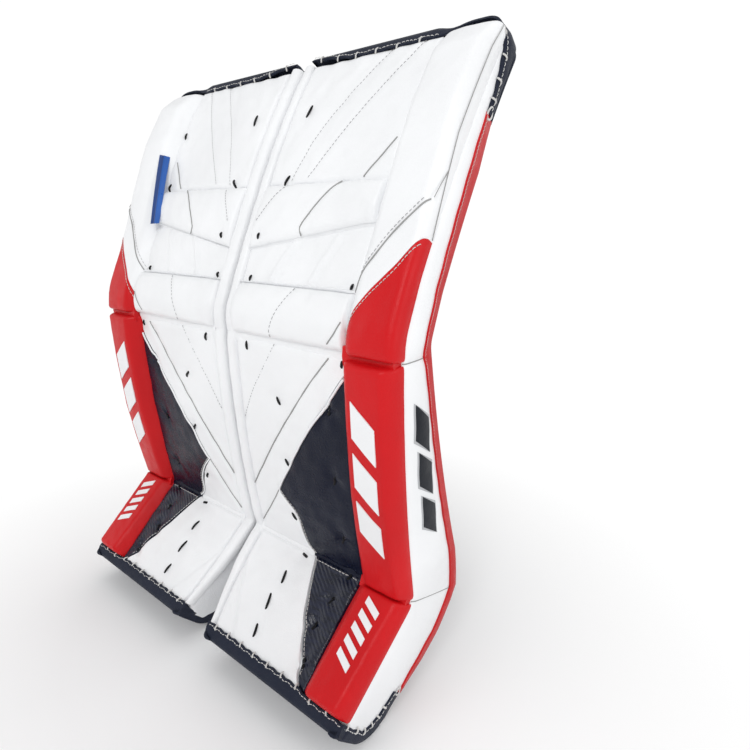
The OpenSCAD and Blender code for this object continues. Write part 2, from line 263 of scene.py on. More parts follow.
def rounded(corners, steps=6):
    """Points round a closed outline. Each corner is (u, n, radius of its rounding)."""
    points = []
    count = len(corners)
    for i, (u, n, r) in enumerate(corners):
        here = np.array([u, n], float)
        back = np.array(corners[i - 1][:2], float) - here
        ahead = np.array(corners[(i + 1) % count][:2], float) - here
        reach_b = min(r, np.linalg.norm(back) * 0.48)
        reach_a = min(r, np.linalg.norm(ahead) * 0.48)
        start = here + back / np.linalg.norm(back) * reach_b
        end = here + ahead / np.linalg.norm(ahead) * reach_a
        for t in np.linspace(0, 1, steps):
            points.append((1 - t) ** 2 * start + 2 * t * (1 - t) * here + t * t * end)
    return np.array(points)


def run_along(points):
    """How far along a path each of its points is."""
    return np.concatenate([[0], np.cumsum(np.linalg.norm(np.diff(points, axis=0), axis=1))])


def line_distance(u, s, points):
    """Distance from (u, s) to a polyline."""
    best = np.full(np.shape(u), 1e9)
    for (u0, s0), (u1, s1) in zip(points, points[1:]):
        du, ds = u1 - u0, s1 - s0
        t = np.clip(((u - u0) * du + (s - s0) * ds) / (du * du + ds * ds + 1e-9), 0, 1)
        best = np.minimum(best, np.hypot(u - u0 - t * du, s - s0 - t * ds))
    return best


def spline(points, step=4.0):
    """A smooth curve through a few points, sampled every few millimetres."""
    p = np.array(points, float)
    if len(p) == 2:
        count = max(2, int(np.linalg.norm(p[1] - p[0]) / step) + 1)
        return np.linspace(p[0], p[1], count)
    p = np.vstack([2 * p[0] - p[1], p, 2 * p[-1] - p[-2]])
    out = []
    for i in range(1, len(p) - 2):
        count = max(2, int(np.linalg.norm(p[i + 1] - p[i]) / step) + 1)
        for t in np.linspace(0, 1, count, endpoint=False):
            out.append(0.5 * (2 * p[i] + (p[i + 1] - p[i - 1]) * t
                              + (2 * p[i - 1] - 5 * p[i] + 4 * p[i + 1] - p[i + 2]) * t ** 2
                              + (3 * p[i] - p[i - 1] - 3 * p[i + 1] + p[i + 2]) * t ** 3))
    out.append(p[-2])
    return np.array(out)


# ---------------------------------------------------------------- materials
class Nodes:
    """A material under construction: makes nodes and links them."""

    def __init__(self, name):
        self.material = bpy.data.materials.new(name)
        self.material.use_nodes = True
        self.tree = self.material.node_tree
        self.shader = self.tree.nodes["Principled BSDF"]
        self.place = self.add("ShaderNodeTexCoord").outputs["Object"]

    def add(self, kind, links=(), **settings):
        node = self.tree.nodes.new(kind)
        for key, value in settings.items():
            if key in node.inputs:
                node.inputs[key].default_value = value
            else:
                setattr(node, key, value)
        for socket, source in dict(links).items():
            self.tree.links.new(source, node.inputs[socket])
        return node

    def noise(self, scale, detail=3.0, stretch=None):
        place = self.place
        if stretch:
            place = self.add("ShaderNodeMapping", {"Vector": place}, Scale=stretch).outputs[0]
        return self.add("ShaderNodeTexNoise", {"Vector": place}, Scale=scale,
                        Detail=detail).outputs[0]

    def cells(self, scale):
        node = self.add("ShaderNodeTexVoronoi", {"Vector": self.place}, Scale=scale)
        return node.outputs["Distance"]

    def waves(self, scale, direction, distortion=0.0):
        node = self.add("ShaderNodeTexWave", {"Vector": self.place}, Scale=scale,
                        Distortion=distortion, bands_direction=direction)
        return node.outputs["Fac"]

    def math(self, operation, a, b):
        node = self.add("ShaderNodeMath", operation=operation)
        for socket, value in zip(node.inputs, (a, b)):
            if isinstance(value, (int, float)):
                socket.default_value = value
            else:
                self.tree.links.new(value, socket)
        return node.outputs[0]

    def ramp(self, source, low, high, out_low, out_high):
        limits = {"From Min": low, "From Max": high, "To Min": out_low, "To Max": out_high}
        return self.add("ShaderNodeMapRange", {"Value": source}, **limits).outputs[0]

    def mix(self, factor, a, b):
        node = self.add("ShaderNodeMix", {"Factor": factor}, data_type="RGBA")
        for key, value in (("A", a), ("B", b)):
            socket = next(i for i in node.inputs if i.name == key and i.type == "RGBA")
            if isinstance(value, tuple):
                socket.default_value = (*value, 1)
            else:
                self.tree.links.new(value, socket)
        return next(o for o in node.outputs if o.type == "RGBA")

    def bump(self, height, distance, strength=1.0, below=None):
        links = {"Height": height} if below is None else {"Height": height, "Normal": below}
        return self.add("ShaderNodeBump", links, Distance=distance, Strength=strength).outputs[0]

    def set(self, **values):
        """Values or links for the shader; _ in a name stands for a space."""
        for key, value in values.items():
            socket = self.shader.inputs[key.replace("_", " ")]
            if isinstance(value, (int, float, tuple)):
                socket.default_value = (*value, 1) if isinstance(value, tuple) else value
            else:
                self.tree.links.new(value, socket)

    def glow(self, strength):
        """The output of a white light of its own."""
        return self.add("ShaderNodeEmission", Color=(1, 1, 1, 1), Strength=strength).outputs[0]

    def show(self, shader):
        self.tree.links.new(shader, self.tree.nodes["Material Output"].inputs["Surface"])
        return self.material


def shade(colour, factor):
    return tuple(min(1.0, c * factor) for c in colour)


def leather(name, colour, rough=0.42, grain=0.00022, vary=0.94, coat=0.1, scuff=0.5, gloss=0.5):
    """Coated synthetic leather: fine pebble grain, broad tone changes and light scuffs."""
    n = Nodes(name)
    broad = n.ramp(n.noise(7, 4), 0.35, 0.65, 0, 1)
    tone = n.mix(broad, colour, shade(colour, vary))
    rubbed = n.ramp(n.noise(42, 8, (1, 1, 0.35)), 0.60, 0.78, 0, scuff)
    tone = n.mix(rubbed, tone, shade(colour, 0.90 if max(colour) > 0.6 else 1.35))
    pebbles = n.math("ADD", n.cells(620), n.math("MULTIPLY", n.noise(260, 4), 0.8))
    creases = n.bump(n.noise(28, 6, (1, 1, 0.5)), 0.0012, 0.5)
    n.set(Base_Color=tone, Roughness=n.ramp(n.noise(60, 5), 0.3, 0.7, rough - 0.06, rough + 0.10),
          Normal=n.bump(pebbles, grain, 0.8, creases), Coat_Weight=coat, Coat_Roughness=0.32,
          Specular_IOR_Level=gloss)
    return n.material


def woven(name, colour, period=0.0011, rough=0.62, depth=0.00025, sheen=0.25, bright=1.5):
    """Woven nylon tape: two crossing yarns, period metres apart."""
    n = Nodes(name)
    scale = 0.314 / period
    yarns = n.math("MAXIMUM", n.waves(scale, "DIAGONAL"), n.waves(scale, "Z", 0.6))
    broad = n.ramp(n.noise(30, 5), 0.35, 0.7, 0, 1)
    tone = n.mix(n.ramp(yarns, 0.45, 1, 0, 1), shade(colour, 0.72), shade(colour, bright))
    tone = n.mix(n.math("MULTIPLY", broad, 0.5), tone, shade(colour, 0.85))
    n.set(Base_Color=tone, Roughness=n.ramp(n.noise(80, 4), 0.3, 0.7, rough - 0.05, rough + 0.1),
          Normal=n.bump(yarns, depth, 0.8, n.bump(n.noise(60, 4), 0.0006, 0.4)), Sheen_Weight=sheen,
          Sheen_Roughness=0.4, Specular_IOR_Level=0.25)
    return n.material


def ribbed(name, colour):
    """Glossy moulded skin with fine slanted ribs and brushed streaking, which varies the roughness
    and lightens the colour as a painted sheen.
    """
    n = Nodes(name)
    streaks_and_painted_sheen = n.noise(9, 8, (6, 6, 60))
    ribs = n.waves(75, "DIAGONAL", 1.4)
    # painted sheen: along the brushed streaking the navy is lightened up to about twice its colour,
    # in place of glossy glints
    tone = n.mix(n.ramp(streaks_and_painted_sheen, 0.4, 0.75, 0, 0.8), shade(colour, 0.8), shade(colour, 2.2))
    n.set(Base_Color=tone, Roughness=n.ramp(streaks_and_painted_sheen, 0.35, 0.7, 0.24, 0.46),
          Normal=n.bump(ribs, 0.0005, 0.9, n.bump(n.cells(500), 0.00012, 0.7)), Coat_Weight=0.1,
          Coat_Roughness=0.2, Specular_IOR_Level=0.4)
    return n.material


def thread(name, colour, rough=0.6, sheen=0.2):
    """Twisted thread or lace."""
    n = Nodes(name)
    twist = n.waves(900, "DIAGONAL")
    tone = n.mix(twist, shade(colour, 0.75), colour)
    n.set(Base_Color=tone, Roughness=n.ramp(n.noise(200, 3), 0.3, 0.7, rough - 0.08, rough + 0.08),
          Normal=n.bump(twist, 0.0003, 0.8), Sheen_Weight=sheen, Specular_IOR_Level=0.3)
    return n.material


def plastic(name, colour, rough=0.35):
    n = Nodes(name)
    tone = n.mix(n.ramp(n.noise(25, 5), 0.35, 0.7, 0, 1), colour, shade(colour, 0.85))
    n.set(Base_Color=tone, Roughness=n.ramp(n.noise(90, 4), 0.3, 0.7, rough - 0.08, rough + 0.1),
          Normal=n.bump(n.noise(400, 3), 0.0001, 0.6))
    return n.material


WHITE = (0.86, 0.87, 0.885)
RED = (0.60, 0.0065, 0.010)
NAVY = (0.0038, 0.0062, 0.020)
# look: (material, slot)
MATERIALS = {
    "white": (leather("white_leather", WHITE), "white_leather"),
    "red": (leather("red_leather", RED, 0.38, 0.0002, 0.88, 0.0, 0.2, 0.2), "red_leather"),
    "navy": (leather("navy_leather", NAVY, 0.24, 0.0003, 0.8, 0.0, 0.15, 0.17), "navy_leather"),
    "ribbed": (ribbed("navy_ribbed", NAVY), "navy_ribbed"),
    "navy_tape": (woven("navy_binding", (0.008, 0.012, 0.027), sheen=0.03), "navy_binding"),
    "red_tape": (woven("red_binding", (0.56, 0.0065, 0.010), rough=0.45, bright=1.15, sheen=0.03),
                 "red_binding"),
    "piping": (leather("grey_piping", (0.30, 0.30, 0.295), 0.5), "white_leather"),
    "thread": (thread("white_thread", (0.82, 0.81, 0.79)), "white_leather"),
    "grey_thread": (thread("grey_thread", (0.42, 0.42, 0.43)), "white_leather"),
    "pink_thread": (thread("pink_thread", (0.80, 0.70, 0.69)), "red_binding"),
    "lace": (thread("black_lace", (0.004, 0.0045, 0.006), 0.5, 0.0), "navy_leather"),
    "dark_mark": (leather("dark_mark", (0.006, 0.008, 0.014), 0.4, coat=0, scuff=0.1, gloss=0.2),
                  "navy_leather"),
    "silver": (leather("silver_mark", (0.45, 0.46, 0.48), 0.35), "white_leather"),
    "lining": (woven("lining", (0.030, 0.032, 0.038), 0.0016, 0.8, 0.0003, 0.4, 1.6), "lining"),
    "webbing": (woven("webbing", (0.30, 0.31, 0.33), 0.0022, 0.7, 0.0005, 0.3, 1.3), "webbing"),
    "tab": (leather("tab_leather", (0.020, 0.018, 0.017), 0.5, 0.0004), "tab_leather"),
    "blue": (plastic("blue_plastic", (0.010, 0.10, 0.42)), "blue_plastic"),
    # the blue plastic made darker: painted shade on one side of the hanging strip
    "blue_painted_shade": (plastic("blue_plastic_painted_shade", (0.008, 0.045, 0.20)), "blue_plastic"),
}


# ---------------------------------------------------------------- lines of the pattern, as (u, s)
BOOT_EDGE = [(201, 5), (183, 25), (171, 51), (149, 91), (118, 164)]   # white to ribbed
SHIN_EDGE = [(118, 159), (105, 180), (95, 217), (66, 250), (98, 298), (135, 352), (171, 396),
             (199, 432), (205, 440)]   # white to navy
SHIN_PIPING = [(176, 453), (147, 421), (112, 377), (77, 332), (37, 278), (10, 241)]
LOW_PIPING = [(66, 250), (40, 214), (12, 178)]
SHIN_STITCH = [(86, 458), (60, 421), (36, 387), (12, 345)]
BOOT_SEAM = [(10, 105), (30, 60), (51, 17)]
TOP_SEAMS = [[(48, 664), (79, 740), (141, 843)], [(78, 666), (120, 735), (186, 843)]]
TOP_PIPING = [(167, 664), (182, 686), (197, 708)]
UPPER_STITCH = [(46, 655), (29, 629), (14, 604)]
UPPER_PIPING = [(140, 657), (128, 646), (112, 624), (99, 604), (97, 597), (100, 590)]
LOWER_STITCH = [(116, 526), (100, 500), (87, 477), (86, 466)]
LOWER_PIPING = [(201, 494), (192, 482), (182, 472)]
RIBS = [[(92, 584), (77, 560), (66, 537)], [(158, 592), (145, 562), (134, 535)]]
TIP_EDGE = [(196, 470), (199, 479), (216, 504), (233, 528), (246, 543), (258, 557), (268, 573),
            (277, 589), (278.6, 591)]   # red tip to white bolster
TIP_WAVE = [(203, 528), (212, 540), (223, 558), (245, 592), (262, 612), (275, 627)]
# laces on the face: u, s, length, angle from the direction up the face
LACES = [(38, 763, 21, 8), (199, 755, 13, 10), (39, 667, 14, 35), (198, 667, 12, -10),
         (24, 588, 8, 10),
         (200, 612, 8, 0), (20, 535, 8, 15), (194, 535, 8, 8), (30, 448, 12, -5), (195, 449, 9, 10),
         (86, 384, 13, -35), (90, 298, 13, -35), (86, 212, 14, -35), (90, 111, 20, -12),
         (86, 75, 24, -10),
         (86, 37, 19, -8), (103, 149, 11, -75), (182, 37, 14, -20), (172, 390, 15, 10),
         (172, 297, 14, 5), (174, 210, 14, 8), (183, 152, 13, 15), (176, 116, 13, 10),
         (171, 80, 13, 10)]
HIDDEN = [(199, 755, 13, 10), (198, 667, 12, -10), (200, 612, 8, 0)]   # missing on the left pad


def groove(u, s, lines, depth, width):
    """Depth of the valleys that run along some lines."""
    total = np.zeros(np.shape(u))
    for line in lines:
        away = line_distance(u, s, spline(line, 12)) / width
        total = np.maximum(total, depth * np.exp(-away ** 2))
    return total


def dimples(u, s):
    """Depth of the hollows round the laces, and of the puckers round those on the dark panels."""
    total = np.zeros(np.shape(u))
    for lu, ls, _, _ in LACES:
        d2 = (u - lu) ** 2 + ((s - ls) * 0.85) ** 2
        total += 2.6 * np.exp(-d2 / 130)
        if 160 < lu < 190 and ls < 430:
            turn = np.arctan2(s - ls, u - lu)
            total += (1.8 + 1.4 * np.cos(5 * turn)) * np.exp(-d2 / 70)
            total += 1.5 * np.cos(3 * turn + 1) * np.exp(-d2 / 500) * (1 - np.exp(-d2 / 40))
    return total


def wrinkles(u, s, size=0.5, seed=0):
    """Small soft ripples, the same on every run."""
    source = random.Random(seed)
    total = np.zeros(np.shape(u))
    for _ in range(9):
        length = source.uniform(14, 46)
        angle = source.uniform(0, math.pi)
        phase = source.uniform(0, 6.28)
        total += np.sin((u * math.cos(angle) + s * math.sin(angle)) * 6.28 / length + phase) / 9
    return total * size * 2.2


def drop(distance, radius, height):
    """How far a rounded edge falls away."""
    t = np.clip(1 - distance / radius, 0, 1)
    return height * (1 - np.sqrt(1 - t * t))


def crown(u, s, low, long):
    """1 in the middle of a panel, 0 at its ends and sides."""
    along = np.sin(np.clip((s - low) / long, 0, 1) * math.pi)
    return along * np.sin(np.clip(u / ROLL_U, 0, 1) * math.pi)


def face_height(u, s):
    """How far the leather of the face stands out of the base plane, its edges not yet rounded."""
    boot = 6 + 3.5 * crown(u, s, 12, 145) - groove(u, s, [BOOT_SEAM], 2.2, 3.0)
    shin = (5 + 3 * crown(u, s, 160, 300) - groove(u, s, [SHIN_PIPING, LOW_PIPING], 1.8, 3.2)
            - groove(u, s, [SHIN_STITCH], 1.0, 2.6))
    lower = 4 + 11 * np.sqrt(np.clip(1 - ((s - 497) / 37) ** 2, 0, 1))
    lower = lower - groove(u, s, [LOWER_STITCH], 0.9, 2.6) - groove(u, s, [LOWER_PIPING], 1.6, 3)
    beside_ribs = [[(line_u + 9, line_s) for line_u, line_s in rib] for rib in RIBS]
    recess = 4.5 + groove(u, s, RIBS, 3.2, 4.5) - groove(u, s, beside_ribs, 1.2, 3)
    roll_low = knee_top(u)
    mid, half = (roll_low + TOP_SEAM_S) / 2, (TOP_SEAM_S - roll_low) / 2 + 5
    upper = 3 + 12 * np.sqrt(np.clip(1 - (np.abs(s - mid) / half) ** 2.6, 0, 1))
    upper = upper - groove(u, s, [UPPER_STITCH], 0.9, 2.6) - groove(u, s, [UPPER_PIPING], 1.8, 3)
    top = 6.5 + 2.5 * np.sin(np.clip((s - TOP_SEAM_S) / 185, 0, 1) * math.pi)
    top = top - groove(u, s, TOP_SEAMS, 1.1, 3.2) - groove(u, s, [TOP_PIPING], 1.6, 3)
    for offset, size in ((20, 0.5), (46, -0.4), (72, 0.45)):   # slanted steps in the top panel
        top = top + size * np.tanh(((u - offset) * 0.90 - (s - 700) * 0.44) / 5)
    out = np.where(s < BOOT_LEN, boot, shin)
    for low, part in ((KNEE_S, lower), (ROLL_SEAM_S + 1, recess), (roll_low, upper),
                      (TOP_SEAM_S, top)):
        out = np.where(s >= low, part, out)
    return out - dimples(u, s) + wrinkles(u, s)


# ---------------------------------------------------------------- pieces
def spaced(count):
    """0 to 1, closer together near both ends."""
    t = np.linspace(0, 1, count)
    return 0.6 * t + 0.4 * (0.5 - 0.5 * np.cos(math.pi * t))


def as_function(value):
    """A number as a function that always gives it; a function as it is."""
    return value if callable(value) else (lambda x: np.full(np.shape(x), float(value)))


def surface(side, u0, u1, s0, s1, round_u, round_s, fall, step=3.0):
    """A padded panel of the face between two edges across (functions of s) and two along (of u).

    Its top falls away by `fall` over round_u and round_s millimetres of its edges."""
    u0, u1, s0, s1 = map(as_function, (u0, u1, s0, s1))
    middle_s = (s0(np.array(100.0)) + s1(np.array(100.0))) / 2
    wide = float(np.max(np.abs(u1(middle_s) - u0(middle_s))))
    long = float(np.max(np.abs(s1(np.array(100.0)) - s0(np.array(100.0)))))
    a = spaced(max(8, int(wide / step)))[None, :]
    b = spaced(max(8, int(long / step)))[:, None]
    u = u0(middle_s) + a * (u1(middle_s) - u0(middle_s)) + 0 * b
    s = s0(u) + b * (s1(u) - s0(u))
    u = u0(s) + a * (u1(s) - u0(s))
    s = s0(u) + b * (s1(u) - s0(u))
    down = np.zeros(np.shape(u))
    for distance, radius in ((u - u0(s), round_u[0]), (u1(s) - u, round_u[1]),
                             (s - s0(u), round_s[0]), (s1(u) - s, round_s[1])):
        down = np.maximum(down, drop(np.maximum(distance, 0), radius, fall))
    return slab_mesh(place(side, u, s, face_height(u, s) - down), place(side, u, s, -9.0))


def add_mesh(name, verts, faces, material):
    mesh = bpy.data.meshes.new(name)
    mesh.from_pydata([tuple(v) for v in verts], [], faces)
    mesh.materials.append(material)
    obj = bpy.data.objects.new(name, mesh)
    bpy.context.scene.collection.objects.link(obj)
    return obj


def piece(side_name, part, body, look, meshes, replaces=(), fill=None):
    """One named piece of a pad, made of closed meshes, riding on a body."""
    material, slot = MATERIALS[look]
    obj = add_mesh(f"{side_name}_{part}", *join_meshes(meshes), material)
    work = bmesh.new()
    work.from_mesh(obj.data)
    bmesh.ops.remove_doubles(work, verts=work.verts, dist=2e-6)
    bmesh.ops.dissolve_degenerate(work, dist=1e-6, edges=work.edges)
    bmesh.ops.recalc_face_normals(work, faces=work.faces)
    work.to_mesh(obj.data)
    work.free()
    obj.data.shade_smooth()
    obj.data.set_sharp_from_angle(angle=SHARP)
    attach(obj, f"{side_name}_{body}")
    if replaces:
        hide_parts(*[f"{side_name}_{node}" for node in replaces])
    return obj


def on_face(side, points, lift, height):
    """World points over (u, s) points of the leather, and the way out of it, 5 mm long."""
    u, s = np.asarray(points, float).T
    n = height(u, s) + lift
    points = place(side, u, s, n)
    return points, place(side, u, s, n + 5) - points


def unit(vectors):
    return vectors / np.linalg.norm(vectors, axis=1)[:, None]


def cord_on_face(side, line, radius, lift=0.0, height=face_height):
    points, out = on_face(side, spline(line), lift, height)
    return tube_mesh(points, radius / 1000, 8, 0.8, out)


def stitches(side, line, radius=0.42, height=face_height):
    """Short raised stitches along a line, 3.2 mm long and 2 mm apart."""
    path = spline(line, 1.0)
    run = run_along(path)
    meshes = []
    for start in np.arange(1.0, run[-1] - 3.2, 5.2):
        at = np.linspace(start, start + 3.2, 4)
        uv = np.stack([np.interp(at, run, column) for column in path.T], -1)
        points, out = on_face(side, uv, 0.25, height)
        points = points + unit(out) * np.array([[-0.3], [0.1], [0.1], [-0.3]]) / 1000
        meshes.append(tube_mesh(points, radius / 1000, 6, 0.8, out))
    return meshes


def lace(side, u, s, length, angle):
    """One flat waxed lace stitch that dives into the leather at both ends."""
    a = math.radians(angle)
    t = np.linspace(-0.5, 0.5, 9)
    bow = np.sin((t + 0.5) * math.pi)
    line = np.stack([u + t * length * math.sin(a) + 1.2 * bow, s + t * length * math.cos(a)], -1)
    points, out = on_face(side, line, 0, face_height)
    out = unit(out)
    lift = (-2.2 + 3.6 * bow ** 0.6)[:, None]
    return tube_mesh(points + out * lift / 1000, 0.0019, 8, 0.65, out)


# cross sections of the outer rolls, as (u, n, corner radius), at height 1
ROLL_SHAPE = rounded([(200, -0.15, 2), (204, 0.28, 6), (217, 1.0, 4.5), (242, 1.05, 30),
                      (267, 1.0, 4.5), (276, 0.40, 5), (277.5, -0.15, 2)])
BOLSTER_SHAPE = rounded([(198.5, -0.15, 2), (203, 0.20, 6), (218, 0.97, 6), (246, 1.04, 30),
                         (273, 0.98, 7), (278.6, 0.50, 8), (278.2, -0.15, 2)])


def roll_height(s):
    """Height of the shin and boot rolls."""
    return np.interp(s, [10, 158, 159, 230, 300, 460], [23, 17, 17, 20, 23.5, 24])


def bolster_height(s):
    """Height of the thigh bolster and its tip."""
    return np.interp(s, [460, 560, 600, 665, 735, 800, 838], [20.5, 19, 20, 25, 30, 28, 13.5])


def top_of(shape, height):
    """The height of a roll's skin as a function of u and s."""
    top = shape[shape[:, 1] > 0]
    us, ns = top[np.argsort(top[:, 0])].T
    return lambda u, s: np.interp(u, us, ns) * height(s) + 0.3


roll_top = top_of(ROLL_SHAPE, roll_height)
bolster_top = top_of(BOLSTER_SHAPE, bolster_height)


def roll(side, shape, height, s0, s1, ends, seed):
    """A filled roll. s0 and s1 may change across it; each end is tucked under over `ends` mm."""
    s0, s1 = as_function(s0), as_function(s1)
    u, n = (np.interp(np.linspace(0, 1, 54), np.linspace(0, 1, len(shape)), column)
            for column in shape.T)
    u_floor, n_floor = np.linspace(u[-1], u[0], 10)[1:-1], np.full(8, n[0])
    u, n = np.concatenate([u, u_floor]), np.concatenate([n, n_floor])
    low, high = s0(u), s1(u)
    rows = max(12, int(float(np.mean(high - low)) / 5))
    mid_u = (u.min() + u.max()) / 2
    tuck = [(0.0, 0.55), (0.25, 0.80), (0.6, 0.95), (1.0, 1.0)]   # part of an end: size there
    layers = [(low + d * ends[0], k if ends[0] else 1) for d, k in tuck]
    layers += [(low + ends[0] + t * (high - low - ends[0] - ends[1]), 1.0)
               for t in np.linspace(0, 1, rows)[1:-1]]
    layers += [(high - d * ends[1], k if ends[1] else 1) for d, k in tuck[::-1]]
    rings = []
    for s, k in layers:
        tall = height(s) * n
        tall = np.where(n > 0, tall * (0.25 + 0.75 * k) if k < 1 else tall, -3)
        tall = tall + np.where(n > 0.3, wrinkles(u, s, 0.35, seed), 0)
        wide = mid_u + (u - mid_u) * (1 - (1 - k) * 0.06)
        rings.append(place(side, wide, s, tall))
    return loft_mesh(rings)


def back_depth(s):
    """Depth of the side walls' back edge, mitred round the ankle and rounded at the toe."""
    lean = np.degrees(np.interp(s, PROFILE[0], PROFILE[3]))
    off = np.minimum(np.abs(lean - BOOT_LEAN), np.abs(lean - SHIN_LEAN))
    turn = np.where(np.abs(s - BOOT_LEN) < 40, off, 0)
    mitred = wall_depth(s) / np.cos(np.radians(np.minimum(turn, 28)) * 0.9)
    over = np.clip(TOE_R - 4 - s, 0, TOE_R)
    return mitred - TOE_R + np.sqrt(TOE_R ** 2 - over ** 2)


def pinch(s):
    """0 at the ankle and knee folds, 1 between them."""
    return (1 - 0.95 * np.exp(-np.abs((s - BOOT_LEN) / 11))
            - 0.85 * np.exp(-np.abs((s - KNEE_S) / 10)))


WALL_ROWS = np.unique(np.concatenate([np.arange(4, 140, 5.0), np.arange(140, 180, 1.7),
                                      np.arange(180, 440, 5.0), np.arange(440, 520, 2.5),
                                      np.arange(520, WALL_TOP, 6.0), [SPLIT_S, WALL_TOP]]))


def edge_dip(t, rate):
    """1 where t is 0 or 1, falling to 0 in between."""
    return 1 - np.minimum(1, np.minimum(t, 1 - t) * rate)


def wall_skin(s, t):
    """u of the outer wall's puffed-out skin, t from 0 at the roll to 1 at the binding."""
    t = np.clip(t, 0, 1)
    puff = np.interp(s, [0, 35, 70, 400, 560, 760, WALL_TOP], [0.1, 0.4, 0.85, 1, 0.75, 0.5, 0.1])
    bulge = 7.5 * puff * pinch(s) * np.sin(math.pi * t) ** 0.75 + 0.25 * np.sin(s / 6.1 + 3 * t)
    return WALL_U + bulge - 2.0 * edge_dip(t, 14)


def wall_u(s, n):
    """The outer wall's skin at s and depth n."""
    s = np.asarray(s, float)
    return wall_skin(s, (-n - 1.5) / (back_depth(s) + 1.0))


def outer_wall_ring(side, s):
    deep = back_depth(s) + 2.5
    t = np.linspace(0, 1, 22)
    u = np.concatenate([wall_skin(np.full(22, s), t), np.full(8, 263.0)])
    return place(side, u, s, np.concatenate([-1.5 - t * (deep - 1.5), np.linspace(-deep, -1.5, 8)]))


def inner_wall_ring(side, s):
    deep = back_depth(s)
    t = np.linspace(0, 1, 16)
    u_out = -1.0 - 1.5 * np.sin(math.pi * t) * pinch(s) + 2.0 * edge_dip(t, 10)
    u = np.concatenate([u_out, np.full(6, 14.0)])
    return place(side, u, s, np.concatenate([-3 - t * (deep - 3), np.linspace(-deep, -3, 6)]))


def bend(obj, side_name, joint):
    """Takes a piece at the ankle or the knee off its body and bakes its place into the mesh; it
    follows neither body.
    """
    obj.parent = None
    del obj["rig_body"]
    below, above, centre, tilt = {"ankle": ("boot", "shin", ankle, 18.5),
                                  "knee": ("shin", "thigh", knee, 0.0)}[joint]
    up = Vector((0, math.sin(math.radians(tilt)), math.cos(math.radians(tilt)))) * 0.022
    Vector(centre) - up
    Vector(centre) + up
    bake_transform(obj)


def edge_of(line):
    """u as a function of s along one of the pattern lines."""
    us, ss = zip(*sorted(line, key=lambda point: point[1]))
    return lambda s: np.interp(s, ss, us)


boot_split, shin_split = edge_of(BOOT_EDGE), edge_of(SHIN_EDGE)


def tip_split(u):
    """s of the seam between the bolster's red tip and its white cover."""
    return np.interp(u, *zip(*TIP_EDGE))


def edge_strip_ring(side, s):
    """The padded roll along the inner edge of the face."""
    full = 0.35 + 0.65 * pinch(s)
    tuck = 8 * (1 - float(smooth(s, 5, 120)))
    full = full * (1 - 0.03 * tuck)
    outline = rounded([(tuck - 10, -8, 4), (tuck - 11, 3.5 * full, 7),
                       (0.4 * tuck - 3, 8.8 * full, 6), (6, 7.8 * full, 5), (9.5, -4, 2)])
    return place(side, outline[:, 0], s, outline[:, 1] + 0.3 * np.sin(s / 7.0))


def flat_u(u, s):
    """The u that place() moves to `u` at the rounded top corner."""
    part = corner(s) / (PAD_W - ROLL_U)
    return np.where(u > ROLL_U, (u - ROLL_U * part) / (1 - part), u)


def join_rows(*parts):
    """One table from several groups of columns; a single number fills its column."""
    return np.concatenate([np.stack(np.broadcast_arrays(*part), -1).astype(float)
                           for part in parts])


def top_path():
    """The pad's edge, over the top and down the outer side: rows of (u, s, out u, out s)."""
    turn = np.radians(np.linspace(0, 90, 15))[1:-1]
    across = np.concatenate([np.arange(3, 190, 2.5), np.arange(190, 251, 2.0)])
    down = np.arange(PAD_LEN - CORNER_R, 743, -2.5)
    return join_rows((across, PAD_LEN, 0, 1),
                     (251 + CORNER_R * np.sin(turn), PAD_LEN - CORNER_R + CORNER_R * np.cos(turn),
                      np.sin(turn), np.cos(turn)), (278, down, 1, 0))


def lip(s):
    """Front edge (n) of the top binding where it lies on the outer side."""
    return np.interp(s, [744, 785, 812, 830, 845], [-18, -14, -7, 2, 8])


def top_point(side, row, q, n):
    """World points beside one row of the top path: q outwards from the edge, n out of the face."""
    u, s = row[0] + q * row[2], row[1] + q * row[3]
    return place(side, flat_u(u, s), s, n)


def top_band(side):
    """The navy binding: over the top edge, round the corner and down the outer side."""
    rings = []
    for row in top_path():
        run = row[0] if row[3] == 1 else 260
        turn = float(smooth(run, 190, 240))
        front, lift = (float(v) for v in top_front(min(row[0], 240)))
        w, d = PAD_LEN - front, float(wall_depth(row[1])) + 2.5
        f = float(lip(row[1])) + 1.3 * abs(math.sin(row[1] * WAVE)) * (row[3] == 0)
        over = [(-w, lift - 1.2), (-w + 0.6, lift + 0.9), (-4, lift + 1.5), (2, lift - 1), (4, 0),
                (4, -12), (2.5, -22), (-3, -26), (-12, -26), (-12, -23.5), (-4, -23), (0, -12),
                (0, 2), (-w + 1, lift - 2.5)]
        beside = [(float(wall_u(min(row[1], WALL_TOP), n)) - WALL_U + clear, n) for n, clear in
                  ((f, -1.5), (f, 1.0), (f - 1.5, 1.6), (f - 4, 1.9), ((f - d) / 2, 2.0),
                   (-d + 4, 2.0), (-d, 1.6))]
        beside[1] = (beside[1][0], f + 0.3)
        beside += [(0.5, -d - 3.5), (-4, -d - 5), (-12, -d - 4), (-12, -d - 1.5), (-4, -d - 1.5),
                   (-2.0, -d + 2), (-2.0, f - 3)]
        ring = (1 - turn) * np.array(over) + turn * np.array(beside)
        rings.append(top_point(side, row, ring[:, 0], ring[:, 1]))
    return loft_mesh(rings)


def toe_path():
    """The toe's outline from the side, front to back: rows of (s, n, inward s, inward n)."""
    front = np.arange(8, TOE_R - float(wall_depth(0.0)) + 1, -2.0)
    turn = np.radians(np.linspace(0, 90, 19))
    back = np.arange(TOE_R - 1.5, 64, 2.5)
    round_s = TOE_R - 4 - TOE_R * np.cos(turn)
    return join_rows((-4, front, 1, 0), (round_s, -back_depth(round_s), np.cos(turn), np.sin(turn)),
                     (back, -back_depth(back), 0, 1))


def toe_edge_width(path):
    """How far along the toe path each row is, and how wide the binding is there."""
    run = run_along(path[:, :2])
    return run, 13 + 1.3 * np.abs(np.sin(run * WAVE)) + 7 * smooth(run, 45, 90)


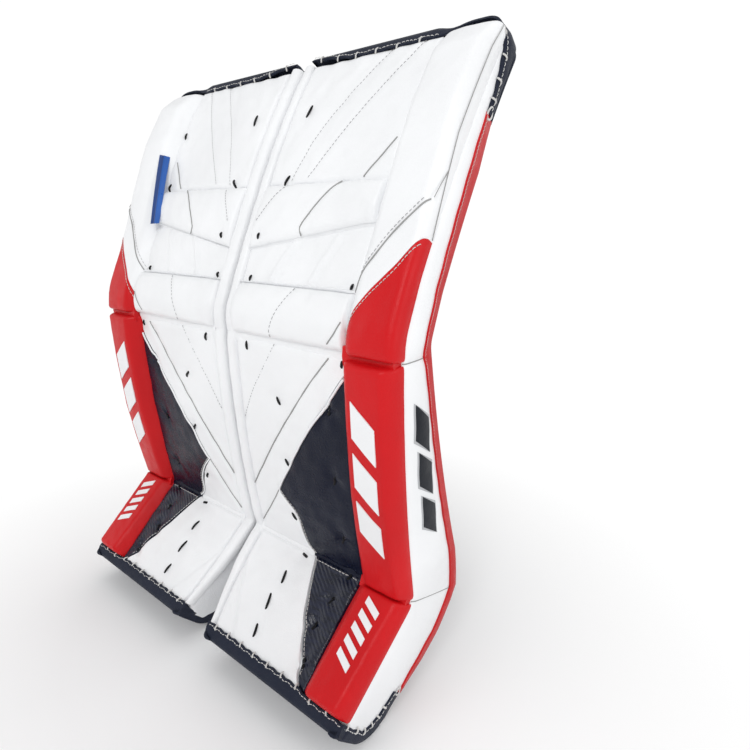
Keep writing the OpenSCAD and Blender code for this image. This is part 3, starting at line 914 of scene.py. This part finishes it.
def toe_side_band(side, u_face, out):
    """The toe binding on a side wall, folded over the wall's edge."""
    path = toe_path()
    width = toe_edge_width(path)[1]
    rings = []
    for (s, n, ds, dn), w in zip(path if out > 0 else path[:-12], width):
        ring = np.array([(-1.6, w), (0.2, w - 0.8), (0.7, w - 3), (0.7, 3), (0.2, 0), (-2.5, -2.0),
                         (-8, -2.6), (-13, -1.5), (-13, 0.6), (-4, 0.6), (-2.2, 2),
                         (-2.2, w - 1.5)])
        row_s, row_n = s + ds * ring[:, 1], n + dn * ring[:, 1]
        bulge = wall_u(row_s, row_n) - WALL_U if out > 0 else 0
        rings.append(place(side, u_face + bulge + out * ring[:, 0], row_s, row_n))
    return loft_mesh(rings)


def tape_gap(s):
    """How far the red tape reaches onto the outer side."""
    return np.interp(s, [62, 200, 520, 600, 745], [3.5, 2.5, 4.5, 9.0, 14.0])


def side_band(side, s_from, s_to):
    """Edge tape folded over the back edge of the outer wall."""
    rings = []
    for s in np.linspace(s_from, s_to, int((s_to - s_from) / 4)):
        deep, cover = float(back_depth(s)), float(tape_gap(s))
        rise = float(wall_u(s, -deep + cover)) - WALL_U
        back = float(np.interp(s, [62, 110, 690, 745], [0.35, 1, 1, 0.35]))
        ring = np.array([(276.5 + rise, cover), (279.2 + rise, cover - 0.6), (280, -4 * back),
                         (279.4, -11 * back), (276, -15.4 * back), (271, -15.4 * back),
                         (267.5, -11 * back), (266, -1), (269, -0.5), (275, -0.5)])
        rings.append(place(side, ring[:, 0], s, ring[:, 1] - deep))
    return loft_mesh(rings)


def toe_band(side):
    """The navy binding round the toe: a front flap, the toe end and a back flap."""
    path = toe_path()
    path = path[(path[:, 1] < 0) & (path[:, 0] < 22)]
    over = [tuple(row[:2] - 1.8 * row[2:]) for row in path]
    under = [tuple(row[:2] + 0.8 * row[2:]) for row in path[::-1]]
    rings = []
    for u in np.concatenate([[-2.5], np.arange(-1, 278, 2.5), [278.2]]):
        front, lift = float(toe_front(u)), 8.0
        ring = np.array([(front, lift - 1.5), (front - 0.8, lift + 0.8), (6, lift + 1.0),
                         (-2.5, lift - 1.5), (-5.6, 3), *over, *under, (-3.2, 2),
                         (front - 1, lift - 3)])
        rings.append(place(side, u, ring[:, 0], ring[:, 1]))
    return loft_mesh(rings)


def cord(side, line, away, radius, sides=6):
    """A tube along (u, s, n) points, whose flatter side faces away."""
    points = place(side, *np.asarray(line).T)
    return tube_mesh(points, radius / 1000, sides, 0.8, place(side, *(line + away).T) - points)


def loops(side, spots):
    """White lace loops over a binding's edge. Each spot is two points (u, s, n) and a way out."""
    bow = 1.6 * np.sin(np.linspace(0, 1, 7) * math.pi)[:, None]
    return [cord(side, np.linspace(a, b, 7) + np.array(out, float) * bow, np.array(out, float), 1.2)
            for a, b, out in spots]


def face_grid(u0, u1, columns, s0, s1, rows):
    return np.broadcast_arrays(np.linspace(u0, u1, columns)[None, :],
                               np.linspace(s0, s1, rows)[:, None])


def lining_slab(side, s0, s1):
    """The inside of the pad behind the face, quilted."""
    u, s = face_grid(13, 263, 96, s0, s1, max(12, int((s1 - s0) / 3)))
    a, b = (u + s) * math.pi / 34, (u - s) * math.pi / 34
    quilt = 3.0 * (np.abs(np.sin(a)) * np.abs(np.sin(b))) ** 0.5
    return slab_mesh(place(side, u, s, -6.0), place(side, u, s, -core_depth(s) + 1.0 - quilt))


def backing(side, s0, s1):
    """The white layer under the leather, seen only in the folds."""
    u, s = face_grid(3, 262, 40, s0, s1, max(6, int((s1 - s0) / 6)))
    return slab_mesh(place(side, u, s, 0.8 + 0.2 * np.sin(u / 3)), place(side, u, s, -5.8))


def fold(side, u0, u1, middle, n):
    """A soft strip under a fold, highest at its middle."""
    u, s = face_grid(u0, u1, max(6, int((u1 - u0) / 5)), middle - 11, middle + 11, 24)
    lift = n - 0.12 * np.abs(s - middle) ** 1.1 + 0.3 * np.sin(u / 4.0)
    return slab_mesh(place(side, u, s, lift), place(side, u, s, -5.0))


# ---------------------------------------------------------------- wraps on the back
def wrap_shell(side, hinge_u, way, s0, s1, d0, d1, clear=9.0, pillow=0.0, count=(40, 44)):
    """A curved band hinged along the back edge of a wall, d0 to d1 mm round from the hinge.

    way is -1 for the outer side. The result gives the points at a height over the band's middle;
    its height can be a grid, such as the padding that the second result holds."""
    ends = []
    for s in (s0, s1):
        y, z, lean = (np.interp(s, PROFILE[0], column) for column in PROFILE[1:])
        n = -float(wall_depth(s)) - clear
        ends.append((y - n * math.cos(lean), z + n * math.sin(lean)))
    (y0, z0), (y1, z1) = ends
    length = math.hypot(y1 - y0, z1 - z0)
    back = ((z1 - z0) / length, -(y1 - y0) / length)
    d, w = face_grid(d0, d1, count[1], 0, 1, count[0])
    start = math.radians(34)
    turn = start + d / WRAP_R

    def shell(off):
        across = -way * ((WRAP_R + off) * np.cos(turn) - WRAP_R * math.cos(start))
        behind = (WRAP_R + off) * np.sin(turn) - WRAP_R * math.sin(start)
        return to_world(side * (HALF_GAP + hinge_u + across), y0 + w * (y1 - y0) + behind * back[0],
                        z0 + w * (z1 - z0) + behind * back[1])
    edge = np.minimum.reduce([w * length, (1 - w) * length, d - d0, d1 - d])
    half = 4 * (1 - 0.75 * np.clip(1 - edge / 7, 0, 1) ** 2)
    channels = np.abs(np.sin((d - d0) / (d1 - d0) * math.pi * 3)) ** 0.6
    return shell, half, half + pillow * np.clip(edge / 25, 0, 1) * channels


# ---------------------------------------------------------------- one pad
def build(name):
    side = SIDES[name]

    def make(part, body, look, meshes, **more):
        return piece(name, part, body, look, meshes, **more)

    # the face, from the toe up
    make("boot_leather", "boot", "white",
         [surface(side, 9, lambda s: boot_split(s) - 0.2, 10.5, 157.6, (7, 2.5), (5, 9), 5.5)],
         replaces=["boot_face"], fill=0.6)
    make("boot_ribbed_panel", "boot", "ribbed",
         [surface(side, lambda s: boot_split(s) + 0.2, 204, 10.5, 157.6, (2.5, 4), (5, 9), 5.5)],
         replaces=["boot_panel"], fill=0.5)
    make("shin_leather", "shin", "white",
         [surface(side, 9, lambda s: shin_split(s) - 0.2, 161, 459.5, (7, 2.5), (8, 9), 5.5)],
         replaces=["shin_face"], fill=0.6)
    make("shin_dark_panel", "shin", "navy",
         [surface(side, lambda s: shin_split(s) + 0.2, 204, 161, 432, (2.5, 4), (8, 3), 4.5)],
         replaces=["shin_panel"], fill=0.6)
    make("lower_roll", "thigh", "white",
         [surface(side, lambda s: 5 + 5 * ((s - 497) / 33) ** 2, ROLL_U, 463.6, 528.8, (14, 5),
                  (8, 8), 8)],
         replaces=["lower_knee_roll"], fill=0.8)
    make("knee_recess", "thigh", "white",
         [surface(side, 7, ROLL_U, 527.6, lambda u: knee_top(u) + 1.2, (8, 4), (3, 3), 3, 2.5)],
         fill=0.5)
    make("upper_roll", "thigh", "white",
         [surface(side, 6, ROLL_U, lambda u: knee_top(u) - 0.2, 660.6, (14, 5), (9, 9), 8.5)],
         replaces=["upper_knee_roll"], fill=0.8)
    make("top_leather", "thigh", "white",
         [surface(side, 9, ROLL_U, 659.6, 841, (7, 4), (7, 7), 5.5)],
         replaces=["thigh_face"], fill=0.6)

    # rolls
    make("boot_roll_cover", "boot", "red",
         [roll(side, ROLL_SHAPE, roll_height, 12.5, 155.6, (7, 7), seed=3)],
         replaces=["boot_roll"], fill=0.9)
    make("shin_roll_cover", "shin", "red",
         [roll(side, ROLL_SHAPE, roll_height, 162.4, 459.3, (7, 5), seed=4)],
         replaces=["shin_roll"], fill=0.9)
    make("tip_cover", "thigh", "red",
         [roll(side, BOLSTER_SHAPE, bolster_height, 464.6, lambda u: tip_split(u) - 0.3, (6, 0),
               seed=5)],
         replaces=["bolster_tip"], fill=0.9)
    make("bolster_cover", "thigh", "white",
         [roll(side, BOLSTER_SHAPE, bolster_height, lambda u: tip_split(u) + 0.3, 838.5, (0, 9),
               seed=6)],
         replaces=["thigh_bolster"], fill=0.85)

    # side walls, edge rolls and tape, split in the middle of the shin so that each crosses one fold
    for part, ring, first, nodes_low, nodes_high in (
            ("outer_side", outer_wall_ring, 0, ["boot_outer_wall", "shin_outer_wall"],
             ["thigh_outer_wall"]),
            ("inner_side", inner_wall_ring, 0, ["boot_inner_wall", "shin_inner_wall"], []),
            ("inner_edge", edge_strip_ring, 10, [], [])):
        low_rows = WALL_ROWS[(WALL_ROWS > first) & (WALL_ROWS <= SPLIT_S)]
        high_rows = WALL_ROWS[WALL_ROWS >= SPLIT_S]
        for end, joint, nodes, rows in (("low", "ankle", nodes_low, low_rows),
                                        ("high", "knee", nodes_high, high_rows)):
            wall = make(f"{part}_{end}", "shin", "white",
                        [loft_mesh([ring(side, s) for s in rows])], replaces=nodes, fill=0.7)
            bend(wall, name, joint)
    for end, joint, nodes, s0, s1 in (("low", "ankle", ["side_binding"], 62, SPLIT_S),
                                      ("high", "knee", [], SPLIT_S, 745)):
        tape = make(f"side_tape_{end}", "shin", "red_tape", [side_band(side, s0, s1)],
                    replaces=nodes)
        bend(tape, name, joint)
    make("toe_tape", "boot", "navy_tape",
         [toe_band(side), toe_side_band(side, 278.6, 1), toe_side_band(side, -1.6, -1)],
         replaces=["toe_binding"])
    make("top_tape", "thigh", "navy_tape", [top_band(side)], replaces=["top_binding"])

    # linings and backings behind the face, and soft strips under the folds
    for body, low, high in (("boot", 6, 155), ("shin", 164, 458), ("thigh", 468, WALL_TOP)):
        make(f"{body}_lining", body, "lining", [lining_slab(side, low, high)],
             replaces=[f"{body}_core"], fill=0.7)
    for body, low, high in (("boot", 6, 154), ("shin", 166, 459.5), ("thigh", 464.5, WALL_TOP)):
        make(f"{body}_backing", body, "white", [backing(side, low, high)])
    for part, look, u0, u1, middle, n, joint in (
            ("ankle_fold", "white", 6, 117, BOOT_LEN, 3.5, "ankle"),
            ("ankle_dark_fold", "navy", 117, 204, BOOT_LEN, 3.0, "ankle"),
            ("ankle_roll_fold", "red", 204, 274, BOOT_LEN, 9, "ankle"),
            ("knee_fold", "white", 6, 204, KNEE_S, 3.5, "knee"),
            ("knee_roll_fold", "red", 205, 274, KNEE_S, 12, "knee")):
        bend(make(part, "shin", look, [fold(side, u0, u1, middle, n)]), name, joint)

    # piping and seams
    make("shin_piping", "shin", "piping",
         [cord_on_face(side, SHIN_PIPING, 1.0, 0.5), cord_on_face(side, LOW_PIPING, 0.9, 0.4)])
    make("panel_piping", "shin", "white",
         [cord_on_face(side, [(66, 250), (98, 298), (135, 352), (171, 396), (199, 432)], 1.7, 0.7),
          cord_on_face(side, [(66, 250), (95, 217), (105, 180), (118, 163)], 1.3, 0.5)])
    make("knee_piping", "thigh", "piping",
         [cord_on_face(side, TOP_PIPING, 0.9, 0.4), cord_on_face(side, UPPER_PIPING, 0.9, 0.4),
          cord_on_face(side, LOWER_PIPING, 0.9, 0.3),
          cord_on_face(side, TIP_WAVE, 0.9, 0.3, bolster_top)])
    make("face_stitching", "thigh", "grey_thread",
         stitches(side, TOP_SEAMS[0], 0.35) + stitches(side, TOP_SEAMS[1])
         + stitches(side, UPPER_STITCH) + stitches(side, LOWER_STITCH))
    make("shin_stitching", "shin", "grey_thread", stitches(side, SHIN_STITCH))
    seams = []
    for stops, depths in (([592, 640, 700, 800, 834], [-0.6, 6, 14, 13, 8]),
                          ([629, 645, 662], [18.4, 14.5, 9])):
        s = np.arange(stops[0], stops[-1], 4.0)
        line = np.stack([278.9 + 0 * s, s, np.interp(s, stops, depths)], -1)
        seams.append(cord(side, line, (1, 0, 0), 0.5))
    make("bolster_seam", "thigh", "piping", seams)
    make("bolster_stitching", "thigh", "grey_thread",
         stitches(side, [(u - 3, s + 3) for u, s in TIP_WAVE], 0.35, bolster_top))
    make("tip_stitching", "thigh", "thread",
         stitches(side, [(u, s - 6) for u, s in TIP_EDGE[1:-1]] + [(268, 567)], 0.5, bolster_top))
    make("panel_stitching", "shin", "thread",
         stitches(side, [(122, 163), (109, 180), (99, 217), (70, 250)], 0.5))
    make("boot_stitching", "boot", "thread",
         stitches(side, [(u + 4, s) for u, s in [(121, 151)] + BOOT_EDGE[-2:0:-1]], 0.5)
         + stitches(side, [(124, 152.5), (200, 152.5)], 0.5))

    trim(name, side, make)
    back_pieces(side, make)

    # laces
    for body, low, high in (("boot", 0, 157), ("shin", 160, 459), ("thigh", 463, 850)):
        make(f"{body}_laces", body, "lace", [lace(side, *spot) for spot in LACES
                                         if low < spot[1] < high
                                         and not (side > 0 and spot in HIDDEN)])


# ---------------------------------------------------------------- trim
def bar_grid(across, along, slant, grow=0.0, counts=(12, 16)):
    """Grids over a slanted bar between two limits across and two along."""
    a = np.linspace(0, 1, counts[0])[None, :]
    b = np.linspace(0, 1, counts[1])[:, None]
    return (across[0] - grow + (across[1] - across[0] + 2 * grow) * a + 0 * b,
            along[0] - grow + (along[1] - along[0] + 2 * grow) * b + slant * (a - 0.5))


def roll_mark(side, across, along, slant):
    """A flat sewn-on bar, slanted across a roll."""
    u, s = bar_grid(across, along, slant)
    n = roll_top(u, s)
    return slab_mesh(place(side, u, s, n + 0.8), place(side, u, s, n - 1.0))


def wall_mark(side, along, lift, grow=0.0):
    """The same kind of bar in the middle of the outer wall."""
    mid = -0.5 * float(back_depth(along[0] + 21.0))
    n, s = bar_grid((mid - 13, mid + 11), along, 22, grow, (14, 18))
    return slab_mesh(place(side, wall_u(s, n) + lift, s, n), place(side, wall_u(s, n) - 1.0, s, n))


def dashes(side, path, out):
    """Stitches along a path of (u, s, n) points that face the way out, 3.4 mm long."""
    out = np.broadcast_to(np.asarray(out, float), path.shape)
    run = run_along(path)
    meshes = []
    for start in np.arange(0.5, run[-1] - 3.4, 5.6):
        at = np.linspace(start, start + 3.4, 4)
        line, away = (np.stack([np.interp(at, run, column) for column in table.T], -1)
                      for table in (path, out))
        line = line + away * np.array([[-0.35], [0.1], [0.1], [-0.35]])
        meshes.append(cord(side, line, away, 0.45))
    return meshes


def zigzag(side, s_from, s_to):
    """The stitch that holds the red tape to the outer wall, 4.4 mm for each zig and zag."""
    s = np.arange(s_from, s_to, 2.2)
    n = tape_gap(s) - back_depth(s) - 1.4 - 1.9 * (np.arange(len(s)) % 2)
    fine = np.arange(s[0], s[-1], 0.55)
    n = np.interp(fine, s, n)
    return [cord(side, np.stack([wall_u(fine, n) + 2.4, fine, n], -1), (1, 0, 0), 0.3, 5)]


def top_front(u):
    """The front edge of the top binding and how far it stands out of the face."""
    u = np.asarray(u, float)
    wide = 4 + 11 * smooth(u, 0, 90) - 5 * smooth(u, 190, 230)
    return PAD_LEN + 1 - wide + 1.6 * np.abs(np.sin(u * WAVE)), 7.5 - 3.5 * smooth(u, 190, 210)


def toe_front(u):
    """The front edge of the toe binding."""
    u = np.asarray(u, float)
    return 13 + 1.8 * np.abs(np.sin(u * math.pi / 17)) - 3 * smooth(u, 195, 215)


def lace_ring(side, u, s, n, wide, tall, radius=0.9):
    """A small knot loop on the outer side."""
    turn = np.linspace(0, 2 * math.pi, 22)
    line = np.stack([u + 0.6 * np.sin(2 * turn), s + tall * np.sin(turn),
                     n + wide * np.cos(turn)], -1)
    return cord(side, line, (1, 0, 0), radius)


def trim(name, side, make):
    """Laces, stitches and marks on the bindings, the rolls and the outer wall."""
    # the top binding's front edge, then its edge on the outer side
    us = np.arange(6, 200, 3.0)
    front, lift = top_front(us)
    line = np.stack([us, front + 3.2, lift + 1.6], -1)
    path = top_path()
    path = path[(path[:, 2] > 0.8) & (path[:, 1] > 747)]
    n = lip(path[:, 1])
    rise = wall_u(np.minimum(path[:, 1], WALL_TOP), n - 3.2) - WALL_U + 2.4

    def beside(rows, rise):
        """u and s of points beside rows of the path."""
        u, s = (rows[..., :2] + rise[..., None] * rows[..., 2:]).T
        return flat_u(u, s), s
    side_line = np.stack([*beside(path, rise), n - 3.2], -1)
    out = np.stack([path[:, 2], path[:, 3], 0 * n], -1)
    make("top_stitching", "thigh", "thread",
         dashes(side, line, (0, 0, 1)) + dashes(side, side_line, out))
    spots = []
    for u in np.arange(20, 190, 31.0):
        f, up = (float(v) for v in top_front(u))
        spots.append(((u + 1.0, f + 4.2, up + 1.2), (u - 0.8, f - 2.2, up - 1.0), (0, 0, 1)))
    run = run_along(path[:, :2])
    for k in np.searchsorted(run, np.arange(8, run[-1] - 6, 24.0)):
        (u0, s0), (u1, s1) = (beside(path[k], rise[k] - less) for less in (0.2, 1.4))
        spots.append(((u0, s0, n[k] - 4.4), (u1, s1 + 1.0, n[k] + 2.6), out[k]))
    make("top_laces", "thigh", "thread",
         loops(side, spots) + [lace_ring(side, 282.6, 746, float(lip(745.0)) - 2.5, 4.2, 7, 1.2)])

    # the toe binding in the same way
    us = np.arange(2, 276, 3.0)
    line = np.stack([us, toe_front(us) - 3.2, np.full(len(us), 9.6)], -1)
    path = toe_path()
    run, width = toe_edge_width(path)
    keep = path[:, 1] < 5
    path, run, width = path[keep], run[keep], width[keep]
    row_s, row_n = (path[:, :2] + path[:, 2:] * (width - 3.2)[:, None]).T
    edge = np.stack([wall_u(row_s, row_n) + 2.6, row_s, row_n], -1)
    make("toe_stitching", "boot", "thread",
         dashes(side, line, (0, 0, 1)) + dashes(side, edge, (1, 0, 0)))
    spots = []
    for u in np.arange(17, 276, 29.0):
        f = float(toe_front(u))
        under = 6.8 if u < 200 else 9.5
        spots.append(((u + 0.8, f - 3.6, 9.2), (u - 0.6, f + 2.4, under), (0, 0, 1)))
    for k in np.searchsorted(run, np.arange(run[0] + 6, run[-1] - 6, 20.0)):
        row, w = path[k], width[k]
        a, b = row[:2] + row[2:] * (w - 4), row[:2] + row[2:] * (w + 2.6)
        spots.append(((wall_u(*a) + 2.3, *a), (wall_u(*b) + 0.9, *b), (1, 0, 0)))
    make("toe_laces", "boot", "thread",
         loops(side, spots) + [lace_ring(side, 283.0, 64, 12 - float(back_depth(64.0)), 3.5, 5)])

    for end, joint, s0, s1 in (("low", "ankle", 66, SPLIT_S), ("high", "knee", SPLIT_S, 741)):
        seam = make(f"tape_stitching_{end}", "shin", "pink_thread", zigzag(side, s0, s1))
        bend(seam, name, joint)

    make("roll_bars", "shin", "white",
         [roll_mark(side, (226, 258), (a, a + 42), -26) for a in (244, 304, 364)])
    make("boot_bars", "boot", "white",
         [roll_mark(side, (231, 255), (a, a + 9), -12) for a in (62, 78, 94, 110, 126)])
    for part, look, lift, grow in (("side_bar_rims", "silver", 0.6, 2.2),
                                   ("side_bars", "dark_mark", 1.1, 0.0)):
        make(part, "shin", look,
             [wall_mark(side, (a, a + 42), lift, grow) for a in (246, 304, 362)])

    # seams across the outer wall at the folds
    for part, s0, joint in (("side_seam_low", BOOT_LEN, "ankle"),
                            ("side_seam_high", KNEE_S - 0.5, "knee")):
        n = np.linspace(-2, 1 - float(back_depth(s0)), 30)
        line = np.stack([wall_u(s0, n) + 0.15, s0 + 0 * n, n], -1)
        bend(make(part, "shin", "piping", [cord(side, line, (1, 0, 0), 0.7)]), name, joint)


def pocket(side, u0, u1, s0, s1, n_front, n_back):
    """A stuffed block: a closed form, crowned on all sides and pulled in at its corners."""
    turn = np.linspace(0, 2 * math.pi, 40, endpoint=False)
    cu, cn = (np.sign(wave) * np.abs(wave) ** 0.42 for wave in (np.cos(turn), np.sin(turn)))
    rings = []
    for t in np.linspace(0, 1, 26):
        end = min(t, 1 - t) * (s1 - s0)
        k = math.sqrt(max(0.0, 1 - max(0.0, 1 - end / 9) ** 2)) * 0.30 + 0.70
        puff = 2 * math.sin(math.pi * t) - 3
        u = (u0 + u1) / 2 + cu * ((u1 - u0) / 2 + puff) * k
        n = (n_front + n_back) / 2 + cn * ((n_front - n_back) / 2 + puff) * k
        quilt = 1.4 * abs(math.sin(t * math.pi * 3)) ** 0.4 - 1.4
        rings.append(place(side, u, s0 + t * (s1 - s0), n + np.where(cn < -0.7, quilt, 0)))
    return loft_mesh(rings)


def boot_point(side, u, s, n):
    """Like place(), but with the boot's own lean all along and no taper at the toe."""
    lean = math.radians(BOOT_LEAN)
    y = (s - BOOT_LEN) * math.sin(lean) - n * math.cos(lean)
    z = (s - BOOT_LEN) * math.cos(lean) + n * math.sin(lean)
    return to_world(*np.broadcast_arrays(side * (HALF_GAP + u), y, z))


def back_pieces(side, make):
    """Wraps, straps, knee block and toe tab."""
    for part, body, hinge, way, s0, s1, long, node in (
            ("outer_calf_wing", "outer_wrap", 254, -1, 212, 352, 92, "outer_calf_wrap"),
            ("inner_calf_wing", "inner_wrap", 20, 1, 212, 352, 92, "inner_calf_wrap"),
            ("knee_wing", "knee_wrap", 254, -1, 376, 452, 90, "knee_wrap")):
        shell, half, padded = wrap_shell(side, hinge, way, s0, s1, 0, long, pillow=2.5)
        flat = shell(0.0)
        make(part, body, "white", [slab_mesh(shell(padded), flat)], replaces=[node], fill=0.6)
        make(f"{part}_lining", body, "lining", [slab_mesh(shell(-0.3), shell(-half))], fill=0.3)
        ring = np.concatenate([flat[0], flat[1:, -1], flat[-1, -2::-1], flat[-2:0:-1, 0],
                               flat[0, :2]])
        make(f"{part}_edge", body, "navy_tape", [tube_mesh(ring, 0.0022)])
    make("knee_cushion", "shin", "white", [pocket(side, 22, 96, 373, 455, -36, -86)],
         replaces=["knee_block"], fill=0.9)

    # calf strap with its buckle
    strap = wrap_shell(side, 254, -1, 264, 302, 60, 141, 11.0, count=(14, 40))[0]
    buckle = wrap_shell(side, 254, -1, 261, 305, 84, 96, 11.0, count=(24, 14))[0]
    make("calf_webbing", "outer_wrap", "webbing", [slab_mesh(strap(7.7), strap(5.7))],
         replaces=["calf_strap"])
    make("calf_buckle", "outer_wrap", "dark_mark", [slab_mesh(buckle(9.7), buckle(7.3))])

    # boot strap: down from the lining, round under the boot
    path = spline([(36.5, -40), (36.5, -70), (36.5, -88), (40, -95.5), (50, -97.5), (138, -98.5),
                   (226, -97.5), (236, -95.5), (239.5, -88), (239.5, -70), (239.5, -40)])
    ahead = unit(np.gradient(path, axis=0))
    thick = np.stack([-ahead[:, 1], ahead[:, 0]], -1) * 1.1
    s = np.linspace(97, 133, 14)[:, None]
    faces = [boot_point(side, line[None, :, 0], s, line[None, :, 1])
             for line in (path + thick, path - thick)]
    make("boot_webbing", "boot", "webbing", [slab_mesh(*faces)], replaces=["boot_strap"])

    # toe tab, with its lace
    u = np.linspace(97, 187, 40)[None, :]
    t = np.linspace(0, 1, 24)[:, None]
    wide = 142 + (u - 142) * (1 - 0.22 * smooth(1 - t, 0.0, 1.0))
    s = 14.5 + t * 51
    bow = 0.6 * np.sin((u - 97) / 90 * math.pi) + 0.25 * np.sin(s / 5)
    make("toe_flap", "toe_tab", "tab",
         [slab_mesh(*(boot_point(side, wide, s, n - bow) for n in (-45.6, -49.2)))],
         replaces=["toe_tab"])
    u, s = spline([(130, 22), (144, 30), (130, 38), (144, 46), (130, 54)], 3).T
    points = boot_point(side, u, s, -50.6)
    make("toe_lace", "toe_tab", "thread",
         [tube_mesh(points, 0.0014, 8, 0.7, boot_point(side, u, s, -51.6) - points)])


def hang_strip():
    """The blue plastic strip on the right pad's bolster, creased along its length; from its outer
    corner to the crease it is a darker copy of the same plastic, painted shade.
    """
    # (u, s, n) at its lower and upper end: the outer corner, and the way to the inner one
    low, low_way = np.array([194, 599, 21.5]), np.array([-11.5, 4, -6.9])
    high, high_way = np.array([217.5, 711, 28]), np.array([-8.5, 3, -12.4])
    b = np.linspace(0, 1, 40)[:, None, None]
    # hanger_shade: the part from the outer corner to the crease, the blue plastic made darker as
    # painted shade
    for part, look, a0, a1 in (("hanger", "blue", 0.45, 1.0),
                               ("hanger_shade", "blue_painted_shade", 0.0, 0.45)):
        a = np.linspace(a0, a1, 10)[None, :, None]
        spot = (1 - b) * low + b * high + a * ((1 - b) * low_way + b * high_way)
        ridge = np.exp(-((a - 0.45) / 0.06) ** 2) + 0.5 * np.sin(b * math.pi) - 2 * (a - 0.5) ** 2
        front, back = spot + ridge * np.array([-0.7, 0, 0.7]), spot + np.array([1.0, 0, -1.0])
        strip = piece("right", part, "thigh", look,
                      [slab_mesh(place(-1, *np.moveaxis(front, -1, 0)),
                                 place(-1, *np.moveaxis(back, -1, 0)))])
        if part == "hanger":
            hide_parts("right_hang_strip")
    turn = np.linspace(0, 2 * math.pi, 18)
    points = place(-1, 211.6 + 1.2 * np.cos(turn), 706 + 1.8 * np.sin(turn),
                   19.6 + 1.3 * np.cos(turn))
    away = place(-1, 211.0, 706.0, 20.4) - place(-1, 212.0, 706.0, 19.4)
    piece("right", "hanger_eyelet", "thigh", "dark_mark",
          [tube_mesh(points, 0.0008, 6, 1.0, np.tile(away, (18, 1)))])


def ring_of(radius, height, count):
    return [(radius * math.cos(a), radius * math.sin(a), height)
            for a in np.linspace(0, 2 * math.pi, count, endpoint=False)]


def floor_and_light():
    """A white floor that fades into a pale dome, which only the camera sees, and five lamps."""
    n = Nodes("floor")
    n.set(Base_Color=n.mix(n.noise(3, 3), (0.90, 0.90, 0.905), (0.93, 0.93, 0.935)), Roughness=0.7)
    reach = n.add("ShaderNodeVectorMath", {0: n.place}, operation="LENGTH").outputs["Value"]
    blend = n.add("ShaderNodeMixShader", {0: n.ramp(reach, 0.30, 0.75, 0, 1),
                                          1: n.shader.outputs[0], 2: n.glow(BACKDROP)})
    floor = add_mesh("floor", ring_of(9, 0.0, 96), [tuple(range(96))], n.show(blend.outputs[0]))
    floor.location.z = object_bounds()[0].z - 0.0005

    m = Nodes("backdrop")
    rings = [ring_of(12 * math.cos(e), 12 * math.sin(e), 48)
             for e in np.radians([-12, 0, 15, 35, 60, 80])]
    dome = add_mesh("backdrop", *loft_mesh(rings), m.show(m.glow(BACKDROP)))
    for ray in ("diffuse", "glossy", "transmission", "shadow", "volume_scatter"):
        setattr(dome, f"visible_{ray}", False)

    world = bpy.data.worlds.new("studio")
    bpy.context.scene.world = world
    world.use_nodes = True
    background = world.node_tree.nodes["Background"]
    background.inputs["Color"].default_value = (1, 1, 1, 1)
    background.inputs["Strength"].default_value = AMBIENT
    for name, spot, size, power in (("key", (1.3, -2.2, 2.2), 1.2, 32),
                                    ("fill", (-2.2, -1.6, 1.3), 1.8, 9),
                                    ("side", (2.4, 0.2, 1.0), 1.2, 9),
                                    ("top", (0.1, 0.3, 2.9), 2.0, 9),
                                    ("back", (0.4, 2.4, 1.6), 1.8, 9)):
        data = bpy.data.lights.new(name, "AREA")
        data.size, data.energy = size, power
        lamp = bpy.data.objects.new(name, data)
        lamp.location = spot
        lamp.rotation_mode = "QUATERNION"
        lamp.rotation_quaternion = (Vector(LAMP_AIM) - Vector(spot)).to_track_quat("-Z", "Y")
        bpy.context.scene.collection.objects.link(lamp)


def camera():
    data = bpy.data.cameras.new("camera")
    data.sensor_width, data.lens = 36.0, 26.0
    cam = bpy.data.objects.new("camera", data)
    bpy.context.scene.collection.objects.link(cam)
    yaw, pitch, tilt = (math.radians(a) for a in CAMERA_TURN)
    ahead = Vector((math.sin(yaw) * math.cos(pitch), math.cos(yaw) * math.cos(pitch),
                    math.sin(pitch)))
    right = Vector((math.cos(yaw), -math.sin(yaw), 0))
    up = right.cross(ahead)
    right, up = (right * math.cos(tilt) + up * math.sin(tilt),
                 up * math.cos(tilt) - right * math.sin(tilt))
    turn = Matrix((right, up, -ahead)).transposed()
    cam.matrix_world = Matrix.Translation(CAMERA_AT) @ turn.to_4x4()
    data.clip_start, data.clip_end = 0.01, 50
    bpy.context.scene.camera = cam


for pad in SIDES:
    build(pad)
hang_strip()
for node in frame["nodes"].values():
    if not node.hide_render:
        node.data.materials.clear()
        node.data.materials.append(MATERIALS["lining"][0])
floor_and_light()
camera()
scene = bpy.context.scene
scene.view_settings.view_transform = "Standard"
